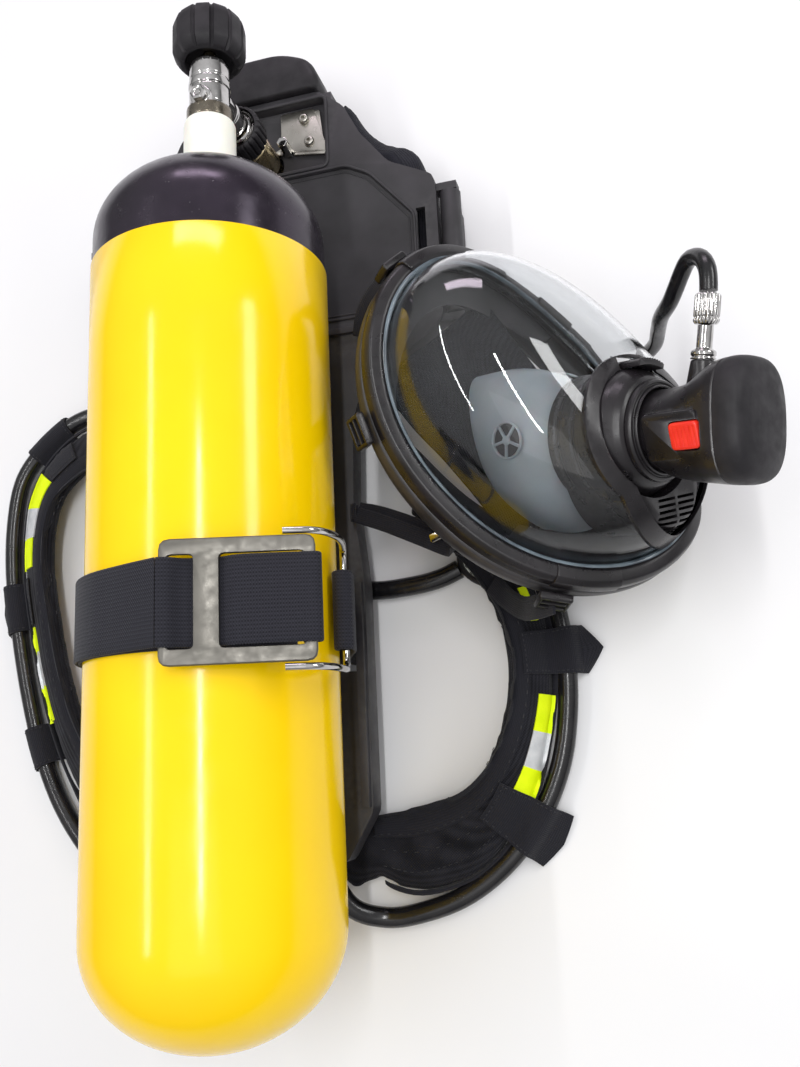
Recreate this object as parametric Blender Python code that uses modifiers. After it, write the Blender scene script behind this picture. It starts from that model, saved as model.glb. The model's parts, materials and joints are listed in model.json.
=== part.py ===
"""Self-contained breathing apparatus lying on its harness side, in metres.

+X is to the right, +Y runs along the cylinder towards its valve and +Z is up. The origin is on the
flat underside of the back plate's keel, and the floor is z = 0.
"""

import bmesh
import bpy
from math import cos, pi, radians, sin
from mathutils import Matrix, Vector

# ---------------------------------------------------------------- driving dimensions
GAP = 0.0003                    # between pieces that touch

CYL_R = 0.0785                  # outside radius over the yellow sleeve
CYL_LENGTH = 0.562              # bottom of the dome to the foot of the neck
CYL_BOTTOM = -0.360             # y of the dome's lowest point
CYL_AXIS_Z = 0.145
DOME = 0.066                    # height of the closed end
SHOULDER = 0.060                # height of the valve end's dome
SLEEVE_T = 0.0008
SLEEVE_END = 0.122              # y where the yellow stops and the bare composite begins
WRAP_T = 0.0060
LINER_T = 0.0030
NECK_R = 0.0155
NECK_BORE = 0.0090
NECK_Y = CYL_BOTTOM + CYL_LENGTH
COLLAR_R = 0.0185
COLLAR_END = NECK_Y + 0.0380

VALVE_R = 0.0146
VALVE_END = COLLAR_END + 0.048
OUTLET_Y = COLLAR_END + 0.024   # centre of the side outlet, which points down at the reducer
OUTLET_DROP = 0.0380
KNOB_R = 0.0262
KNOB_LENGTH = 0.036
KNOB_FLUTES = 12
STEM_R = 0.0050

WHEEL_R = 0.0195                # hand wheel that pulls the reducer onto the valve
WHEEL_T = 0.020
WHEEL_TOP = CYL_AXIS_Z - OUTLET_DROP - 0.001
REDUCER_R = 0.0150

PLATE_TOP = 0.0550
PLATE_LOW = 0.0370
PLATE_WALL = 0.0040
KEEL_HALF = 0.0100
WING_HALF = 0.1400
SPINE_HALF = 0.0720
PLATE_HEAD_END = -0.268
PLATE_WAIST_END = 0.318
HINGE_X = 0.1490
HINGE_Z = 0.0460
HINGE_R = 0.0080
HINGE_SPAN = (0.105, 0.222)

HOSE_R = 0.0070                 # both long hoses
THIN_HOSE_R = 0.0050            # the demand valve's own hose
HOSE_Z = 0.0105

STRAP_Y = -0.112
STRAP_WIDTH = 0.050
STRAP_T = 0.0022
LEVER_TILT = 18.0               # degrees the buckle's lever leans to the right
LEVER_LIFT = 0.0885             # lever's mid plane from the cylinder's axis
LEVER_SHIFT = 0.0262
LEVER_SIZE = (0.086, 0.070, 0.0034)
BAIL_R = 0.0021

MASK_AT = (0.214, 0.011, 0.115)
MASK_TURN = (68.6, -34.1, -129.2)     # degrees about X, Y, Z; the mask's own +Y looks out, +Z is the brow
RIM_W = 0.083                   # half width and half height of the visor's edge
RIM_H = 0.1145
RIM_SWEEP = 0.028               # how far the temples lie behind the brow
RIM_POWER = 2.16
VISOR_DEPTH = 0.057
VISOR_T = 0.0022
PORT_AT = (0, 0.0535, -0.0568)    # in the mask's frame
PORT_DROP = 26.6                # degrees the port looks down
PORT_R = 0.0385
DEMAND_ROLL = 146.4             # degrees that the demand valve is turned in the port
INLET_Z = 0.0280                # the hose inlet's height in the demand valve
INLET_TILT = 7.0                # degrees it leans away from the mask
BUTTON_Z = 0.0360
BUTTON_TURN = 16.0              # degrees the button's face is turned away from the inlet


# ---------------------------------------------------------------- scene and materials
def clear_scene():
    for old in list(bpy.data.objects):
        bpy.data.objects.remove(old, do_unlink=True)


def collection(name, hidden=False):
    made = bpy.data.collections.new(name)
    bpy.context.scene.collection.children.link(made)
    made.hide_render = hidden
    return made


clear_scene()
PARTS = collection("breathing_apparatus")
CUTTERS = collection("cutters", hidden=True)


def paint(name, colour, roughness, metallic=0.0, alpha=1.0):
    found = bpy.data.materials.get(name)
    if found:
        return found
    made = bpy.data.materials.new(name)
    made.use_nodes = True
    shader = made.node_tree.nodes["Principled BSDF"]
    shader.inputs["Base Color"].default_value = (*colour, 1.0)
    shader.inputs["Roughness"].default_value = roughness
    shader.inputs["Metallic"].default_value = metallic
    shader.inputs["Alpha"].default_value = alpha
    made.diffuse_color = (*colour, alpha)
    return made


YELLOW = paint("yellow_gloss", (0.93, 0.66, 0.02), 0.12)
COMPOSITE = paint("black_composite", (0.02, 0.018, 0.022), 0.15)
LINER = paint("liner_aluminium", (0.75, 0.76, 0.77), 0.35, 1.0)
WHITE = paint("white_plastic", (0.88, 0.87, 0.82), 0.4)
CHROME = paint("chrome", (0.78, 0.78, 0.78), 0.12, 1.0)
STEEL = paint("stainless_steel", (0.6, 0.59, 0.57), 0.35, 1.0)
GREY_METAL = paint("grey_metal", (0.19, 0.185, 0.17), 0.45, 0.7)
BRASS = paint("brass", (0.6, 0.45, 0.2), 0.3, 1.0)
PLASTIC = paint("black_plastic", (0.02, 0.02, 0.022), 0.35)
PLATE = paint("plate_plastic", (0.035, 0.035, 0.038), 0.5)
RUBBER = paint("black_rubber", (0.018, 0.018, 0.018), 0.6)
HOSE = paint("hose_rubber", (0.012, 0.012, 0.013), 0.25)
FABRIC = paint("black_fabric", (0.015, 0.016, 0.022), 0.9)
WEBBING = paint("black_webbing", (0.014, 0.015, 0.018), 0.85)
CLEAR = paint("clear_visor", (0.85, 0.88, 0.9), 0.05, 0.0, 0.25)
CUP = paint("grey_silicone", (0.45, 0.49, 0.52), 0.35, 0.0, 0.8)
RED = paint("red_plastic", (0.85, 0.04, 0.02), 0.35)


# ---------------------------------------------------------------- helpers
def add(name, data, material=None, at=(0, 0, 0), turn=(0, 0, 0), parent=None):
    made = bpy.data.objects.new(name, data)
    made.location = at
    made.rotation_euler = [radians(a) for a in turn]
    made.parent = parent
    if material is None:
        CUTTERS.objects.link(made)
        made.hide_render = True
        made.display_type = "WIRE"
    else:
        data.materials.append(material)
        PARTS.objects.link(made)
    return made


def frame(name, at, turn=(0, 0, 0), parent=None):
    made = bpy.data.objects.new(name, None)
    made.location = at
    made.rotation_euler = [radians(a) for a in turn]
    made.parent = parent
    PARTS.objects.link(made)
    return made


def boolean(target, other, operation):
    step = target.modifiers.new(operation.title(), "BOOLEAN")
    step.operation = operation
    step.object = other
    return target


def cut(target, *others):
    for other in others:
        boolean(target, other, "DIFFERENCE")
    return target


def join(target, *others):
    for other in others:
        boolean(target, other, "UNION")
    return target


def bevel(target, width, segments=1, angle=35):
    step = target.modifiers.new("Bevel", "BEVEL")
    step.width = width
    step.segments = segments
    step.limit_method = "ANGLE"
    step.angle_limit = radians(angle)
    return target


def box(name, low, high, material=None, edge=0.0, **place):
    """A box between two corners; its edges are rounded by edge."""
    bm = bmesh.new()
    bmesh.ops.create_cube(bm, size=1)
    low, high = Vector(low), Vector(high)
    size = high - low
    bmesh.ops.scale(bm, vec=size, verts=bm.verts)
    bmesh.ops.translate(bm, vec=(low + high) / 2, verts=bm.verts)
    mesh = bpy.data.meshes.new(name)
    bm.to_mesh(mesh)
    bm.free()
    made = add(name, mesh, material, **place)
    return bevel(made, edge) if edge else made


def turned(name, profile, material=None, steps=32, closed=False, **place):
    """A profile of (radius, height) turned about the piece's own Z. It runs down the outer side, and
    a closed one comes back up the inner side."""
    mesh = bpy.data.meshes.new(name)
    count = len(profile)
    edges = [(i, i + 1) for i in range(count - 1)] + ([(count - 1, 0)] if closed else [])
    mesh.from_pydata([(r, 0, z) for r, z in profile], edges, [])
    made = add(name, mesh, material, **place)
    screw = made.modifiers.new("Turn", "SCREW")
    screw.axis = "Z"
    screw.steps = screw.render_steps = steps
    screw.use_merge_vertices = True
    screw.merge_threshold = 0.00001
    screw.use_smooth_shade = True
    return made


def disc(name, radius, low, high, material=None, steps=32, edge=0.0, **place):
    profile = [(0, high), (radius - edge, high), (radius, high - edge),
               (radius, low + edge), (radius - edge, low), (0, low)]
    if not edge:
        profile = [(0, high), (radius, high), (radius, low), (0, low)]
    return turned(name, profile, material, steps, **place)


def ring(name, inner, outer, low, high, material=None, steps=32, **place):
    profile = [(outer, high), (outer, low), (inner, low), (inner, high)]
    return turned(name, profile, material, steps, closed=True, **place)


def rounded(corners, radius, arc=3):
    """The outline with each corner replaced by an arc; radius may be one value or one a corner."""
    count = len(corners)
    radii = radius if isinstance(radius, (list, tuple)) else [radius] * count
    points = []
    for i, corner in enumerate(corners):
        here = Vector(corner)
        back = (Vector(corners[i - 1]) - here).normalized()
        on = (Vector(corners[(i + 1) % count]) - here).normalized()
        if radii[i] <= 0:
            points.append(here)
            continue
        start, end = here + back * radii[i], here + on * radii[i]
        for k in range(arc + 1):
            t = k / arc
            points.append(start * (1 - t) ** 2 + here * 2 * t * (1 - t) + end * t * t)
    return points


def slab(name, outline, low, high, material=None, **place):
    """A flat outline in X and Y, filled and made solid between two heights."""
    curve = bpy.data.curves.new(name, "CURVE")
    curve.dimensions = "2D"
    curve.fill_mode = "BOTH"
    curve.extrude = (high - low) / 2
    spline = curve.splines.new("POLY")
    spline.points.add(len(outline) - 1)
    for point, (x, y) in zip(spline.points, outline):
        point.co = (x, y, 0, 1)
    spline.use_cyclic_u = True
    return as_mesh(name, curve, material, (low + high) / 2, **place)


def as_mesh(name, curve, material, lift=0.0, **place):
    """The curve made a closed mesh object, raised by lift along its own Z."""
    guide = bpy.data.objects.new(name, curve)
    CUTTERS.objects.link(guide)
    bpy.context.view_layer.update()
    solid = guide.evaluated_get(bpy.context.evaluated_depsgraph_get())
    mesh = bpy.data.meshes.new_from_object(solid)
    bpy.data.objects.remove(guide, do_unlink=True)
    bm = bmesh.new()
    bm.from_mesh(mesh)
    bmesh.ops.remove_doubles(bm, verts=bm.verts, dist=0.00001)
    bmesh.ops.translate(bm, vec=(0, 0, lift), verts=bm.verts)
    bmesh.ops.recalc_face_normals(bm, faces=bm.faces)
    bm.to_mesh(mesh)
    bm.free()
    mesh.materials.clear()
    return add(name, mesh, material, **place)


def smooth_route(points, step):
    """Points a step apart on the smooth curve through the given ones."""
    knots = [Vector(p) for p in points]
    knots = [2 * knots[0] - knots[1]] + knots + [2 * knots[-1] - knots[-2]]
    fine = []
    for a, b, c, d in zip(knots, knots[1:], knots[2:], knots[3:]):
        for k in range(12):
            t = k / 12
            fine.append(0.5 * (2 * b + (c - a) * t + (2 * a - 5 * b + 4 * c - d) * t * t
                               + (3 * b - a - 3 * c + d) * t ** 3))
    fine.append(knots[-2])
    total = sum((q - p).length for p, q in zip(fine, fine[1:]))
    count = max(2, round(total / step))
    route, walked, wanted = [fine[0]], 0.0, total / count
    for p, q in zip(fine, fine[1:]):
        length = (q - p).length
        while length and walked + length >= wanted - 1e-9 and len(route) < count:
            route.append(p.lerp(q, (wanted - walked) / length))
            wanted += total / count
        walked += length
    route.append(fine[-1])
    return route


def tube(name, route, radius, material=None, mesh=False, sides=2, **place):
    """A round tube, wire or hose along the route."""
    curve = bpy.data.curves.new(name, "CURVE")
    curve.dimensions = "3D"
    curve.bevel_depth = radius
    curve.bevel_resolution = sides
    curve.use_fill_caps = True
    spline = curve.splines.new("POLY")
    spline.points.add(len(route) - 1)
    for point, place_ in zip(spline.points, route):
        point.co = (*place_, 1)
    if mesh:
        return as_mesh(name, curve, material, **place)
    return add(name, curve, material, **place)


def loft(name, rings, material=None, closed=False, caps=True, **place):
    """A skin over rings of equally many points, closed round or capped at both ends."""
    bm = bmesh.new()
    rows = [[bm.verts.new(p) for p in one] for one in rings]
    width = len(rows[0])
    pairs = list(zip(rows, rows[1:])) + ([(rows[-1], rows[0])] if closed else [])
    for below, above in pairs:
        for i in range(width):
            j = (i + 1) % width
            bm.faces.new((below[i], below[j], above[j], above[i]))
    if caps and not closed:
        bm.faces.new(rows[0][::-1])
        bm.faces.new(rows[-1])
    bmesh.ops.recalc_face_normals(bm, faces=bm.faces)
    mesh = bpy.data.meshes.new(name)
    bm.to_mesh(mesh)
    bm.free()
    return add(name, mesh, material, **place)


def pad_section(width, thick, tilt):
    """A flat section with round edges, leaning by tilt degrees about the route."""
    half, deep = width / 2, thick / 2
    flat = [(half, 0), (half - deep * 0.5, deep * 0.9), (half * 0.4, deep), (-half * 0.4, deep),
            (-half + deep * 0.5, deep * 0.9), (-half, 0), (-half + deep * 0.5, -deep * 0.9),
            (-half * 0.4, -deep), (half * 0.4, -deep), (half - deep * 0.5, -deep * 0.9)]
    c, s = cos(radians(tilt)), sin(radians(tilt))
    return [(a * c - b * s, a * s + b * c) for a, b in flat]


def sweep(name, stations, material, **place):
    """A pad swept through stations of (x, y, z, width, thickness, tilt), its sections upright."""
    count = len(stations)
    rings = []
    for i, (x, y, z, width, thick, tilt) in enumerate(stations):
        before, after = stations[max(i - 1, 0)], stations[min(i + 1, count - 1)]
        along = Vector((after[0] - before[0], after[1] - before[1], 0)).normalized()
        side = along.cross(Vector((0, 0, 1)))
        section = pad_section(width, thick, tilt)
        lift = max(0.0, 0.0004 - z - min(b for a, b in section))
        rings.append([Vector((x, y, z + lift)) + side * a + Vector((0, 0, b)) for a, b in section])
    return loft(name, rings, material, **place)


def mirrored(outline):
    """A half outline at x > 0, listed from one end to the other, made whole across x = 0."""
    return [Vector(p) for p in outline] + [Vector((-p[0], p[1])) for p in reversed(outline)]


# ---------------------------------------------------------------- cylinder
ALONG_Y = (-90, 0, 0)           # turns a piece's own Z onto +Y


def vessel(radius, end, inset, top, neck, rows=7):
    """Profile of the vessel's skin, inset by so much, from the foot of its neck down to its pole."""
    middle = CYL_BOTTOM + DOME
    shoulder = NECK_Y - SHOULDER
    points = []
    for k in range(rows):
        angle = pi / 2 * k / (rows - 1)
        r = max(neck, (radius - inset) * sin(angle))
        points.append((r, shoulder + (SHOULDER - inset) * cos(angle)))
    points = [p for i, p in enumerate(points) if i == len(points) - 1 or points[i + 1][0] > neck]
    if end is not None:
        points = [(radius - inset, end)]
    for k in range(rows):
        angle = pi / 2 * k / (rows - 1)
        points.append(((radius - inset) * cos(angle), middle - (DOME - inset) * sin(angle)))
    return points if top is None else [(points[0][0], top)] + points


def shell_profile(radius, outer_inset, thickness, neck, bore, top, end=None):
    outer = vessel(radius, end, outer_inset, top, neck)
    inner = vessel(radius, end, outer_inset + thickness, top, bore)
    return outer + inner[::-1]


def make_cylinder():
    axis = dict(at=(0, 0, CYL_AXIS_Z), turn=ALONG_Y)
    turned("cylinder_sleeve", shell_profile(CYL_R, 0, SLEEVE_T, 0, 0, None, SLEEVE_END),
           YELLOW, 28, closed=True, **axis)
    wrap_inset = SLEEVE_T + GAP
    turned("cylinder_overwrap",
           shell_profile(CYL_R, wrap_inset, WRAP_T, NECK_R + GAP, NECK_R + GAP, None),
           COMPOSITE, 28, closed=True, **axis)
    liner_inset = wrap_inset + WRAP_T + GAP
    turned("cylinder_liner",
           shell_profile(CYL_R, liner_inset, LINER_T, NECK_R, NECK_BORE, COLLAR_END - GAP),
           LINER, 28, closed=True, **axis)
    collar = [(COLLAR_R - 0.001, COLLAR_END), (COLLAR_R - 0.0004, COLLAR_END - 0.002),
              (COLLAR_R, NECK_Y + 0.002), (COLLAR_R, NECK_Y + 0.0015),
              (NECK_R + GAP, NECK_Y + 0.0015), (NECK_R + GAP, COLLAR_END)]
    turned("neck_collar", collar, WHITE, 32, closed=True, **axis)


# ---------------------------------------------------------------- cylinder valve
def make_valve():
    axis = dict(at=(0, 0, CYL_AXIS_Z), turn=ALONG_Y)
    foot = COLLAR_END + GAP
    body = turned("valve_body", [(0.0095, VALVE_END), (VALVE_R - 0.0015, VALVE_END),
                                 (VALVE_R, VALVE_END - 0.0015), (VALVE_R, foot + 0.010),
                                 (VALVE_R + 0.0012, foot + 0.009), (VALVE_R + 0.0012, foot + 0.001),
                                 (VALVE_R, foot), (NECK_BORE - GAP, foot), (NECK_BORE - GAP, NECK_Y - 0.02),
                                 (0.0025, NECK_Y - 0.02), (0.0025, foot + 0.020), (0.0095, foot + 0.022)],
                  CHROME, 24, closed=True, **axis)
    outlet_at = (0, OUTLET_Y, CYL_AXIS_Z)
    outlet = disc("outlet_boss", 0.0118, -OUTLET_DROP, -0.009, steps=24, at=outlet_at, turn=(0, 0, 4))
    socket = disc("outlet_bore", 0.0070, -OUTLET_DROP - 0.01, -OUTLET_DROP + 0.016, steps=24, at=outlet_at, turn=(0, 0, 4))
    plug_boss = disc("plug_boss", 0.0078, 0.008, VALVE_R + 0.0012, steps=20,
                     at=(0, COLLAR_END + 0.0145, CYL_AXIS_Z), turn=(0, 0, 5))
    cut(join(body, outlet, plug_boss), socket)
    plug = disc("burst_disc_plug", 0.0060, 0, 0.0042, BRASS, 6, 0.0006,
                at=(0, COLLAR_END + 0.0145, CYL_AXIS_Z + VALVE_R + 0.0012 + GAP))
    plug.data.materials[0] = CHROME

    knob_at = VALVE_END + 0.0015
    spin = frame("knob_axis", (0, knob_at, CYL_AXIS_Z), ALONG_Y)
    turned("valve_stem", [(0, 0.020), (STEM_R - 0.0008, 0.020), (STEM_R - 0.0008, -0.018),
                          (0, -0.018)], BRASS, 20, parent=spin)
    knob = turned("valve_knob", [(0, KNOB_LENGTH), (KNOB_R * 0.62, KNOB_LENGTH),
                                 (KNOB_R * 0.93, KNOB_LENGTH - 0.004), (KNOB_R, KNOB_LENGTH - 0.010),
                                 (KNOB_R, 0.007), (KNOB_R * 0.84, 0), (VALVE_R + 0.003, 0),
                                 (VALVE_R + 0.0015, 0.006), (STEM_R - 0.0004, 0.008),
                                 (STEM_R - 0.0004, 0.0205), (0, 0.0205)],
                  RUBBER, KNOB_FLUTES * 3, parent=spin)
    for i in range(KNOB_FLUTES):
        angle = 2 * pi * (i + 0.25) / KNOB_FLUTES
        reach = KNOB_R + 0.0030
        cut(knob, disc(f"flute_{i:02}", 0.0046, -0.01, KNOB_LENGTH + 0.01, steps=8, parent=spin,
                       at=(reach * cos(angle), reach * sin(angle), 0)))


# ---------------------------------------------------------------- pressure reducer
def make_reducer():
    centre = (0, OUTLET_Y, 0)
    low = WHEEL_TOP - WHEEL_T
    spin = frame("wheel_axis", centre)
    wheel = turned("reducer_handwheel",
                   [(0.0102, WHEEL_TOP), (WHEEL_R - 0.0055, WHEEL_TOP), (WHEEL_R - 0.0050, WHEEL_TOP - 0.0015),
                    (WHEEL_R - 0.0012, WHEEL_TOP - 0.0015), (WHEEL_R, WHEEL_TOP - 0.003),
                    (WHEEL_R, low + 0.002), (WHEEL_R - 0.002, low), (0.0062, low), (0.0062, WHEEL_TOP - 0.004),
                    (0.0102, WHEEL_TOP - 0.004)], RUBBER, 24, closed=True, parent=spin)
    for i in range(12):
        angle = 2 * pi * (i + 0.5) / 12
        cut(wheel, disc(f"grip_{i:02}", 0.0016, low - 0.01, WHEEL_TOP + 0.01, steps=6, parent=spin,
                        at=((WHEEL_R + 0.0006) * cos(angle), (WHEEL_R + 0.0006) * sin(angle), 0)))
    top = low - 0.0045
    body = turned("reducer_body", [(0.0022, WHEEL_TOP + 0.014), (0.0048, WHEEL_TOP + 0.014),
                                   (0.0056, WHEEL_TOP + 0.012), (0.0056, top), (REDUCER_R - 0.001, top),
                                   (REDUCER_R, top - 0.001), (REDUCER_R, 0.052), (REDUCER_R - 0.002, 0.050),
                                   (REDUCER_R - 0.002, 0.016), (0.0022, 0.016)],
                  BRASS, 32, closed=True, at=centre)
    for side in (-1, 1):
        inner, outer = sorted((side * 0.0105, side * 0.030))
        join(body, box(f"port_arm_{side}", (inner, OUTLET_Y - 0.012, 0.0175), (outer, OUTLET_Y + 0.006, 0.0295)))
    disc("relief_valve", 0.0048, 0.0470, 0.0640, CHROME, 6, 0.0006,
         at=(REDUCER_R + 0.0062, OUTLET_Y + 0.010, 0))
    bracket_low = 0.0470
    bracket = slab("reducer_bracket", rounded([(0.0050, 0.274), (0.0520, 0.266), (0.0480, 0.306),
                                               (0.0270, 0.309), (0.0270, 0.2860), (0.0180, 0.2800)], 0.002),
                   bracket_low, bracket_low + 0.002, STEEL)
    screws = ((0.0350, 0.300), (0.0390, 0.279))
    for x, y in screws:
        cut(bracket, disc("screw_way", 0.0022, 0.03, 0.06, steps=12, at=(x, y, 0)))
    reducer_way = disc("reducer_way", REDUCER_R + 0.0005, 0.03, 0.06, steps=32, at=centre)
    relief_way = disc("relief_way", 0.0055, 0.03, 0.06, steps=12,
                      at=(REDUCER_R + 0.0062, OUTLET_Y + 0.010, 0))
    cut(bracket, reducer_way, relief_way)
    for name, (x, y) in zip(("bracket_screw_upper", "bracket_screw_lower"), screws):
        turned(name, [(0, 0.0020), (0.0015, 0.0020), (0.0015, 0.0034), (0.0036, 0.0034), (0.0042, 0.0026),
                      (0.0042, GAP), (0.0018, GAP), (0.0018, -0.007), (0, -0.007)], STEEL, 16,
               at=(x, y, bracket_low + 0.002))


# ---------------------------------------------------------------- back plate
def plate_outline(inset=0.0):
    half = [(0.050, PLATE_WAIST_END), (0.070, 0.300), (0.082, 0.274), (0.104, 0.244),
            (WING_HALF - 0.002, 0.226), (WING_HALF, 0.215), (WING_HALF, 0.112), (0.128, 0.098),
            (SPINE_HALF + 0.006, 0.072), (SPINE_HALF - 0.004, 0.040), (SPINE_HALF - 0.006, -0.020),
            (SPINE_HALF, -0.080), (SPINE_HALF, -0.235), (0.052, PLATE_HEAD_END)]
    whole = mirrored(half)
    count = len(whole)
    points = []
    for i, here in enumerate(whole):
        a, b = (here - whole[i - 1]).normalized(), (whole[(i + 1) % count] - here).normalized()
        inward = Vector((a.y + b.y, -a.x - b.x)).normalized()
        spread = max(0.5, Vector((a.y, -a.x)).dot(inward))
        points.append(here + inward * (inset / spread))
    return points


def mirrored_boxes(name, low, high):
    """The same box on the right and on the left."""
    left = ((-high[0], low[1], low[2]), (-low[0], high[1], high[2]))
    return [box(f"{name}_right", low, high), box(f"{name}_left", *left)]


def make_plate():
    plate = slab("backplate", rounded(plate_outline(), 0.004, 2), PLATE_LOW, PLATE_TOP, PLATE)
    cut(plate, slab("plate_hollow", plate_outline(PLATE_WALL), PLATE_LOW - 0.01, PLATE_TOP - PLATE_WALL))
    bed = box("reducer_bed", (-0.052, 0.2435, 0.0385), (0.060, 0.3155, PLATE_TOP - 0.0005))
    keels = [box("keel_waist", (-KEEL_HALF, -0.020, 0), (KEEL_HALF, 0.118, PLATE_TOP - 0.002)),
             box("keel_head", (-KEEL_HALF, -0.255, 0), (KEEL_HALF, -0.085, PLATE_TOP - 0.002))]
    ridges = mirrored_boxes("spine_ridge", (SPINE_HALF - 0.0068, -0.232, PLATE_TOP - 0.008),
                            (SPINE_HALF - 0.0012, -0.080, PLATE_TOP + 0.005))
    ledge = mirrored_boxes("wing_ledge", (0.048, 0.108, PLATE_TOP - 0.008), (0.118, 0.1125, PLATE_TOP + 0.004))
    lugs = []
    for y in (HINGE_SPAN[0] + 0.003, HINGE_SPAN[1] - 0.009):
        lugs += mirrored_boxes(f"hinge_lug_{y:.2f}", (WING_HALF - 0.010, y, HINGE_Z - 0.0055),
                               (HINGE_X + 0.006, y + 0.006, HINGE_Z + 0.0055))
    join(plate, bed, *keels, *ridges, *ledge, *lugs)
    pocket = box("reducer_pocket", (-0.046, 0.2520, 0.0467), (0.0545, 0.3115, 0.08))
    hole = disc("reducer_hole", REDUCER_R + 0.001, 0.02, 0.06, steps=32, at=(0, OUTLET_Y, 0))
    recess_half = [(0.070, 0.246), (0.088, 0.236), (0.121, 0.196), (0.121, 0.122)]
    recess = slab("label_recess", rounded(mirrored(recess_half), 0.003, 2), PLATE_TOP - 0.0018, 0.08)
    slots = mirrored_boxes("belt_slot", (0.124, 0.150, 0.02), (0.131, 0.200, 0.08))
    slots += mirrored_boxes("strap_slot", (0.0560, STRAP_Y - 0.029, 0.02), (0.0635, STRAP_Y + 0.029, 0.08))
    screws = [disc(f"screw_seat_{x}", 0.0021, 0.030, 0.06, steps=12, at=(x, y, 0))
              for x, y in ((0.0350, 0.300), (0.0390, 0.279))]
    cut(plate, pocket, hole, recess, *slots, *screws)
    join(plate, *[disc(f"hinge_pin_{side}", 0.0022, HINGE_SPAN[0] + 0.001, HINGE_SPAN[1] - 0.001, steps=12,
                       at=(side * HINGE_X, 0, HINGE_Z), turn=ALONG_Y) for side in (-1, 1)])

    bump_half = [(0.049, 0.3185), (0.052, 0.328), (0.044, 0.347), (0.020, 0.3585)]
    bumper = slab("waist_bumper", rounded(mirrored(bump_half), 0.008, 3), 0.0290, 0.0610, RUBBER)
    bevel(bumper, 0.003, 2)
    saddle = box("cylinder_saddle", (-0.042, -0.205, PLATE_TOP + GAP), (0.042, 0.100, PLATE_TOP + 0.024), RUBBER)
    cut(saddle, disc("cylinder_space", CYL_R + GAP, -0.30, 0.20, steps=48, at=(0, 0, CYL_AXIS_Z), turn=ALONG_Y))
    cut(saddle, *mirrored_boxes("saddle_waist", (0.020, -0.160, 0.05), (0.06, 0.062, 0.10)))


def make_belt_wing(name, side):
    """Hinged hip plate with the slot that the waist belt is threaded through."""
    axis = frame(f"{name}_axis", (side * HINGE_X, 0, HINGE_Z))
    low, high = HINGE_SPAN[0] + 0.0095, HINGE_SPAN[1] - 0.0095
    wing = ring(name, 0.0026, HINGE_R, low, high, STEEL, 16, turn=ALONG_Y, parent=axis)
    wing.data.materials[0] = PLATE
    tab = box(f"{name}_tab", (-0.0020, low, -0.0390), (0.0020, high, -0.0060), parent=axis)
    slot = box(f"{name}_slot", (-0.02, low + 0.014, -0.0300), (0.02, high - 0.014, -0.0220), parent=axis)
    cut(join(wing, tab), slot)


def make_lumbar_pad():
    half = [(0.058, 0.325), (0.096, 0.280), (0.124, 0.268), (0.131, 0.245), (0.131, 0.135), (0.110, 0.125)]
    pad = slab("lumbar_pad", rounded(mirrored(half), 0.010, 2), 0.0, 0.0340, FABRIC)
    bevel(pad, 0.005, 1)
    cut(pad, box("hose_relief", (-0.056, 0.10, 0.0080), (0.056, 0.345, 0.06)))


# ---------------------------------------------------------------- strap and buckle
def band(name, material, start, end, radius, steps, tail=None):
    """Webbing lying on the cylinder from one angle to another, in degrees from the top, clockwise."""
    rings = []
    path = [(radius * sin(radians(a)), CYL_AXIS_Z + radius * cos(radians(a)), radians(a))
            for a in [start + (end - start) * k / steps for k in range(steps + 1)]]
    if tail:
        path += [(x, z, radians(end)) for x, z in tail]
    for i, (x, z, _) in enumerate(path):
        before, after = path[max(i - 1, 0)], path[min(i + 1, len(path) - 1)]
        along = Vector((after[0] - before[0], 0, after[1] - before[1])).normalized()
        out = Vector((-along.z, 0, along.x)) * (1 if end > start else -1)
        here = Vector((x, STRAP_Y, z))
        wide = Vector((0, STRAP_WIDTH / 2, 0))
        thick = out * STRAP_T / 2
        rings.append([here + wide + thick, here - wide + thick, here - wide - thick, here + wide - thick])
    return loft(name, rings, material)


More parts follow.
